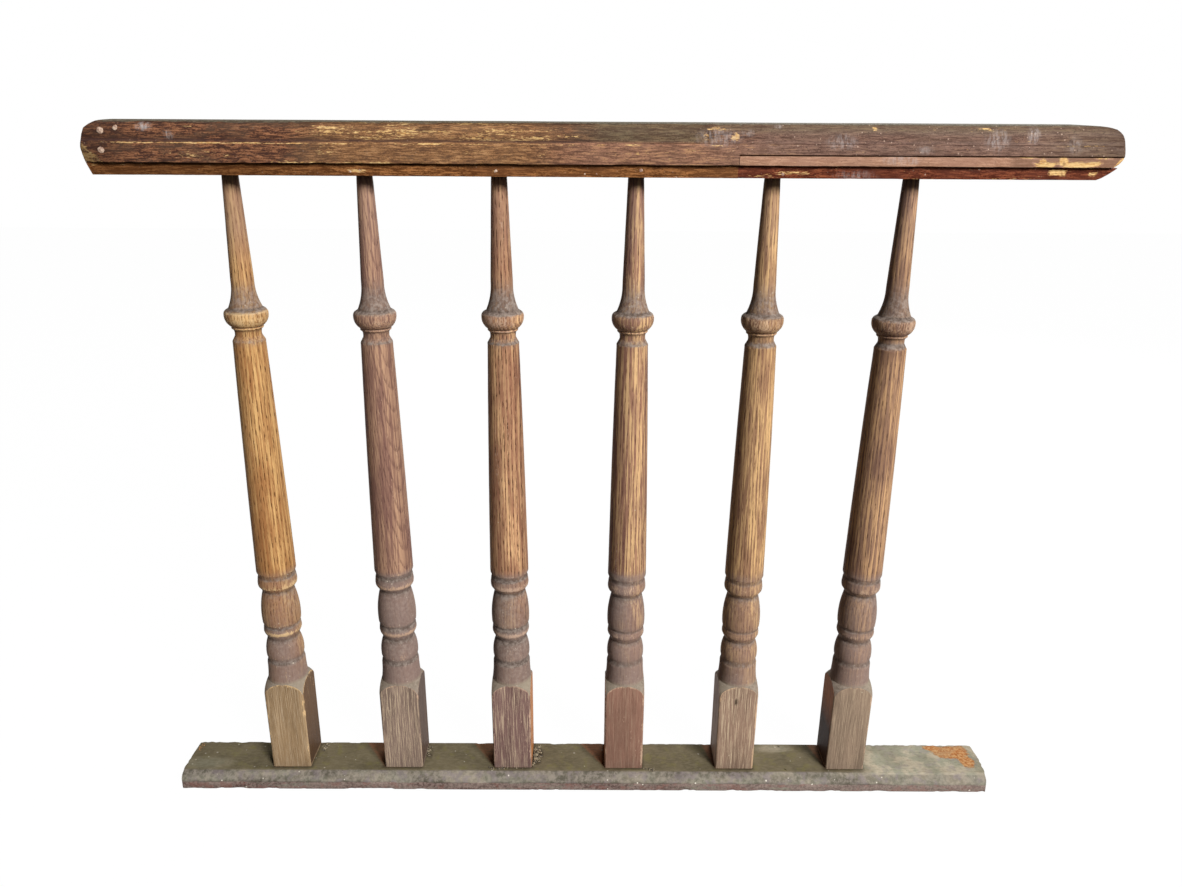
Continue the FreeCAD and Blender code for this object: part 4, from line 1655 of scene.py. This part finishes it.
# Filler over the sunk nails: x, z and radius in millimetres, on the handrail and on the subrail
HANDRAIL_FILLER = [(-412.0, 710.0, 3.0), (-398.2, 712.2, 2.7), (-413.0, 693.6, 2.9)]
ROUNDED_ABOVE = 700.0  # height where the flat band of the handrail ends, in millimetres
SUBRAIL_FILLER = [
    (-63.0, 677.2, 1.8), (17.1, 675.3, 1.0), (28.0, 675.1, 1.1), (-194.3, 676.2, 1.4), (-185.7, 677.5, 1.2),
    (68.0, 678.5, 1.7), (196.0, 676.0, 1.6), (100.0, 672.9, 0.9), (324.2, 676.1, 1.2), (372.7, 680.8, 0.9),
]
# Crumbs on the bottom rail: x, y and spread in millimetres, and how many are tried
CRUMB_SPOTS = [
    (-38.0, 2.0, 5.0, 16.0, 110), (-78.0, -23.5, 16.0, 2.0, 26), (-290.0, 12.0, 5.0, 8.0, 24),
    (-165.0, 4.0, 4.0, 14.0, 30), (95.0, -24.0, 12.0, 2.0, 10),
]
CRUMB_REACH = (-27.0, 20.5)  # front and back limits of the crumbs, in millimetres


def scatter_tree():
    """Small bodies on given points, each with its own size, width and turn about the way it faces."""
    nodes, given, result = new_group(
        "Small bodies on points",
        "GeometryNodeTree",
        [
            ("Geometry", "NodeSocketGeometry", None),
            ("Flatness", "NodeSocketFloat", 0.4),
            ("Roughness", "NodeSocketFloat", 0.0002),
            ("Seed", "NodeSocketInt", 1),
            ("Matter", "NodeSocketMaterial", None),
        ],
        [("Geometry", "NodeSocketGeometry")],
    )
    seed = given["Seed"]
    body = nodes.put("GeometryNodeMeshIcoSphere", {"Radius": 1.0, "Subdivisions": 3}).outputs["Mesh"]
    size = nodes.named("size")
    facing = nodes.named("facing", "FLOAT_VECTOR")
    aim = nodes.put("FunctionNodeAlignRotationToVector", {"Vector": facing}, axis="Z").outputs[0]
    whole_turn = {"Min": (0.0, 0.0, 0.0), "Max": (0.0, 0.0, math.tau), "Seed": seed}
    turn = nodes.put("FunctionNodeRandomValue", whole_turn, data_type="FLOAT_VECTOR").outputs[0]
    turned = {"Rotation": aim, "Rotate By": turn}
    spin = nodes.put("FunctionNodeRotateRotation", turned, rotation_space="LOCAL").outputs[0]
    wide = nodes.put("FunctionNodeRandomValue", {2: 0.65, 3: 1.2, "Seed": seed}, data_type="FLOAT").outputs[1]
    scale = nodes.joined(size, nodes.times(size, wide), nodes.times(size, given["Flatness"]))
    points = nodes.put("GeometryNodeMeshToPoints", {"Mesh": given["Geometry"]}).outputs[0]
    placed = {"Points": points, "Instance": body, "Rotation": spin, "Scale": scale}
    shape = nodes.put("GeometryNodeInstanceOnPoints", placed).outputs[0]
    shape = nodes.step("RealizeInstances", shape)
    bumpy = nodes.minus(nodes.noise(nodes.position(), 900.0), 0.5)
    shape = nodes.push(shape, nodes.times(bumpy, given["Roughness"]))
    shape = nodes.step("SetMaterial", shape, Material=given["Matter"])
    nodes.feed(result[0], shape)
    return nodes.tree


def small_bodies(name, places, sizes, facing, flatness, roughness, seed, matter):
    """A piece made of small bodies on points, all facing one way."""
    base = bpy.data.meshes.new(name + "_points")
    base.from_pydata(places, [], [])
    keep_values(base, "size", sizes)
    layer = base.attributes.new("facing", "FLOAT_VECTOR", "POINT")
    layer.data.foreach_set("vector", np.tile(np.array(facing, dtype=np.float32), len(places)))
    tree = bpy.data.node_groups.get("Small bodies on points") or scatter_tree()
    values = {"Flatness": flatness, "Roughness": roughness, "Seed": seed, "Matter": matter}
    mesh = made_by_nodes(name, tree, values, base)
    mesh.shade_smooth()
    finish_piece(new_piece(name, mesh, matter), None)


class BALUSTRADE_OT_fastenings(bpy.types.Operator):
    """Set the filler over the sunk nails"""

    bl_idname = "balustrade.fastenings"
    bl_label = "Nail filler"

    def execute(self, context):
        rail = node_low("handrail")[1]
        strip = node_low("subrail_left")[1]
        places = [
            (x * MM, rail + (0.0004 if z < ROUNDED_ABOVE else 0.0014), z * MM)
            for x, z, _ in HANDRAIL_FILLER
        ]
        places += [(x * MM, strip + 0.0004, z * MM) for x, z, _ in SUBRAIL_FILLER]
        sizes = [radius * MM for _, _, radius in HANDRAIL_FILLER + SUBRAIL_FILLER]
        filler = plain_material("nail_filler", tone(212, 186, 162), tone(136, 102, 86), 0.6)
        front = (0.0, -1.0, 0.0)
        small_bodies("nail_filler_spots", places, sizes, front, 0.35, 0.0009, 4, filler)
        return {"FINISHED"}


class BALUSTRADE_OT_crumbs(bpy.types.Operator):
    """Leave crumbs of dirt on the bottom rail beside the bases"""

    bl_idname = "balustrade.crumbs"
    bl_label = "Crumbs"

    def execute(self, context):
        rng = np.random.default_rng(8)
        top = node_high("bottom_rail")[2]
        places, sizes = [], []
        clear = settings().baluster.side / 2 / MM + 1.0
        pitch = settings().baluster.pitch / MM
        for x, y, dx, dy, count in CRUMB_SPOTS:
            for _ in range(count):
                px, py = rng.normal(x, dx * 0.5), rng.normal(y, dy * 0.5)
                beside = abs((px / pitch) % 1.0 - 0.5) * pitch
                inside = beside < clear and abs(py) < clear
                if inside or not CRUMB_REACH[0] < py < CRUMB_REACH[1]:
                    continue
                size = rng.uniform(0.4, 1.6)
                places.append((px * MM, py * MM, top + 0.0002))
                sizes.append(size * MM)
        crumb = plain_material("dirt_crumbs", tone(34, 27, 21), tone(150, 136, 110), 0.75)
        up = (0.0, 0.0, 1.0)
        small_bodies("dirt_crumbs", places, sizes, up, 0.6, 0.0012, 9, crumb)
        return {"FINISHED"}


# Stage

WHITE = (1.0, 1.0, 1.0)
FLOOR_HALF = 6.0  # half the side of the floor, in metres
AIM = (0.0, 0.0, 0.35)  # what the lamps point at


class BALUSTRADE_OT_stage(bpy.types.Operator):
    """Set the pale floor, the soft lights and the camera"""

    bl_idname = "balustrade.stage"
    bl_label = "Stage"

    def execute(self, context):
        values = settings().stage
        self.floor(values)
        self.world(values)
        self.lamp("key_light", (2.6, -3.6, 3.0), 1.6, values.key)
        self.lamp("back_light", (0.9, 2.2, 1.4), 1.4, values.back)
        self.camera(values)
        context.scene.view_settings.view_transform = "Standard"
        return {"FINISHED"}

    def seen(self, nodes):
        """1 for rays whose background shows, 0 for those that only light."""
        path = nodes.put("ShaderNodeLightPath").outputs
        shown = nodes.math("MAXIMUM", path["Is Camera Ray"], path["Is Glossy Ray"])
        return nodes.math("MAXIMUM", shown, path["Is Transmission Ray"])

    def floor(self, values):
        """A pale floor that is seen as white and keeps the shadow."""
        mesh = bpy.data.meshes.new("pale_floor")
        corners = [(x * FLOOR_HALF, y * FLOOR_HALF, 0.0) for x, y in ((-1, -1), (1, -1), (1, 1), (-1, 1))]
        mesh.from_pydata(corners, [], [(0, 1, 2, 3)])
        material = bpy.data.materials.new("pale_floor")
        material.use_nodes = True
        material.node_tree.nodes.clear()
        nodes = Nodes(material.node_tree)
        matt = nodes.put("ShaderNodeBsdfDiffuse", {"Color": opaque(values.floor)}).outputs[0]
        white = nodes.put("ShaderNodeEmission", {"Color": opaque(WHITE), "Strength": 1.15}).outputs[0]
        share = nodes.times(self.seen(nodes), 0.86)
        mixed = nodes.put("ShaderNodeMixShader", {0: share, 1: matt, 2: white}).outputs[0]
        nodes.put("ShaderNodeOutputMaterial", {0: mixed})
        new_piece("pale_floor", mesh, material)

    def world(self, values):
        """Weak even light, with a white background where it is seen."""
        world = bpy.data.worlds.new("studio")
        world.use_nodes = True
        world.node_tree.nodes.clear()
        nodes = Nodes(world.node_tree)
        light, white = (
            nodes.put("ShaderNodeBackground", {"Color": opaque(WHITE), "Strength": strength}).outputs[0]
            for strength in (values.sky, 1.0)
        )
        mixed = nodes.put("ShaderNodeMixShader", {0: self.seen(nodes), 1: light, 2: white}).outputs[0]
        nodes.put("ShaderNodeOutputWorld", {0: mixed})
        bpy.context.scene.world = world

    def lamp(self, name, place, size, power):
        """A soft square lamp that points at the panel."""
        light = bpy.data.lights.new(name, "AREA")
        light.energy = power
        light.size = size
        lamp = bpy.data.objects.new(name, light)
        lamp.location = place
        lamp.rotation_euler = (Vector(AIM) - Vector(place)).to_track_quat("-Z", "Y").to_euler()
        bpy.context.scene.collection.objects.link(lamp)

    def camera(self, values):
        """The camera at the place and with the turns of the settings."""
        level_share, drop = math.cos(values.pitch), math.sin(values.pitch)
        forward = Vector((math.sin(values.yaw) * level_share, math.cos(values.yaw) * level_share, -drop))
        level = Vector((math.cos(values.yaw), -math.sin(values.yaw), 0.0))
        down = forward.cross(level)
        right = level * math.cos(values.roll) + down * math.sin(values.roll)
        up = level * math.sin(values.roll) - down * math.cos(values.roll)
        view = bpy.data.cameras.new("camera")
        view.sensor_width = 36.0
        view.sensor_fit = "HORIZONTAL"
        view.lens = values.lens
        view.clip_start = 0.01
        eye = bpy.data.objects.new("camera", view)
        turn = Matrix((right, up, -forward)).transposed().to_4x4()
        eye.matrix_world = Matrix.Translation(Vector(values.eye)) @ turn
        bpy.context.scene.collection.objects.link(eye)
        bpy.context.scene.camera = eye


class BALUSTRADE_PT_panel(bpy.types.Panel):
    """Lists the steps that build the balustrade"""

    bl_idname = "BALUSTRADE_PT_panel"
    bl_label = "Balustrade"
    bl_space_type = "VIEW_3D"
    bl_region_type = "UI"
    bl_category = "Balustrade"

    def draw(self, context):
        for step in STEPS:
            self.layout.operator(step.bl_idname)
        for group in ("baluster", "handrail", "rail", "finish", "stage"):
            box = self.layout.box()
            values = getattr(settings(), group)
            for key in values.__annotations__:
                box.prop(values, key)


STEPS = (
    BALUSTRADE_OT_bottom_rail,
    BALUSTRADE_OT_balusters,
    BALUSTRADE_OT_subrails,
    BALUSTRADE_OT_handrail,
    BALUSTRADE_OT_repair_strip,
    BALUSTRADE_OT_fastenings,
    BALUSTRADE_OT_crumbs,
    BALUSTRADE_OT_stage,
)
GROUPS = (BalusterSettings, HandrailSettings, RailSettings, FinishSettings, StageSettings, BalustradeSettings)


def register():
    """Adds the settings, the steps and the panel."""
    for kind in GROUPS + STEPS + (BALUSTRADE_PT_panel,):
        bpy.utils.register_class(kind)
    bpy.types.Scene.balustrade = PointerProperty(type=BalustradeSettings)


def unregister():
    """Takes them away again."""
    del bpy.types.Scene.balustrade
    for kind in reversed(GROUPS + STEPS + (BALUSTRADE_PT_panel,)):
        bpy.utils.unregister_class(kind)


def main():
    """Builds every piece."""
    register()
    bpy.ops.balustrade.bottom_rail()
    bpy.ops.balustrade.balusters()
    bpy.ops.balustrade.subrails()
    bpy.ops.balustrade.handrail()
    bpy.ops.balustrade.repair_strip()
    bpy.ops.balustrade.fastenings()
    bpy.ops.balustrade.crumbs()
    bpy.ops.balustrade.stage()


if __name__ == "__main__":
    main()
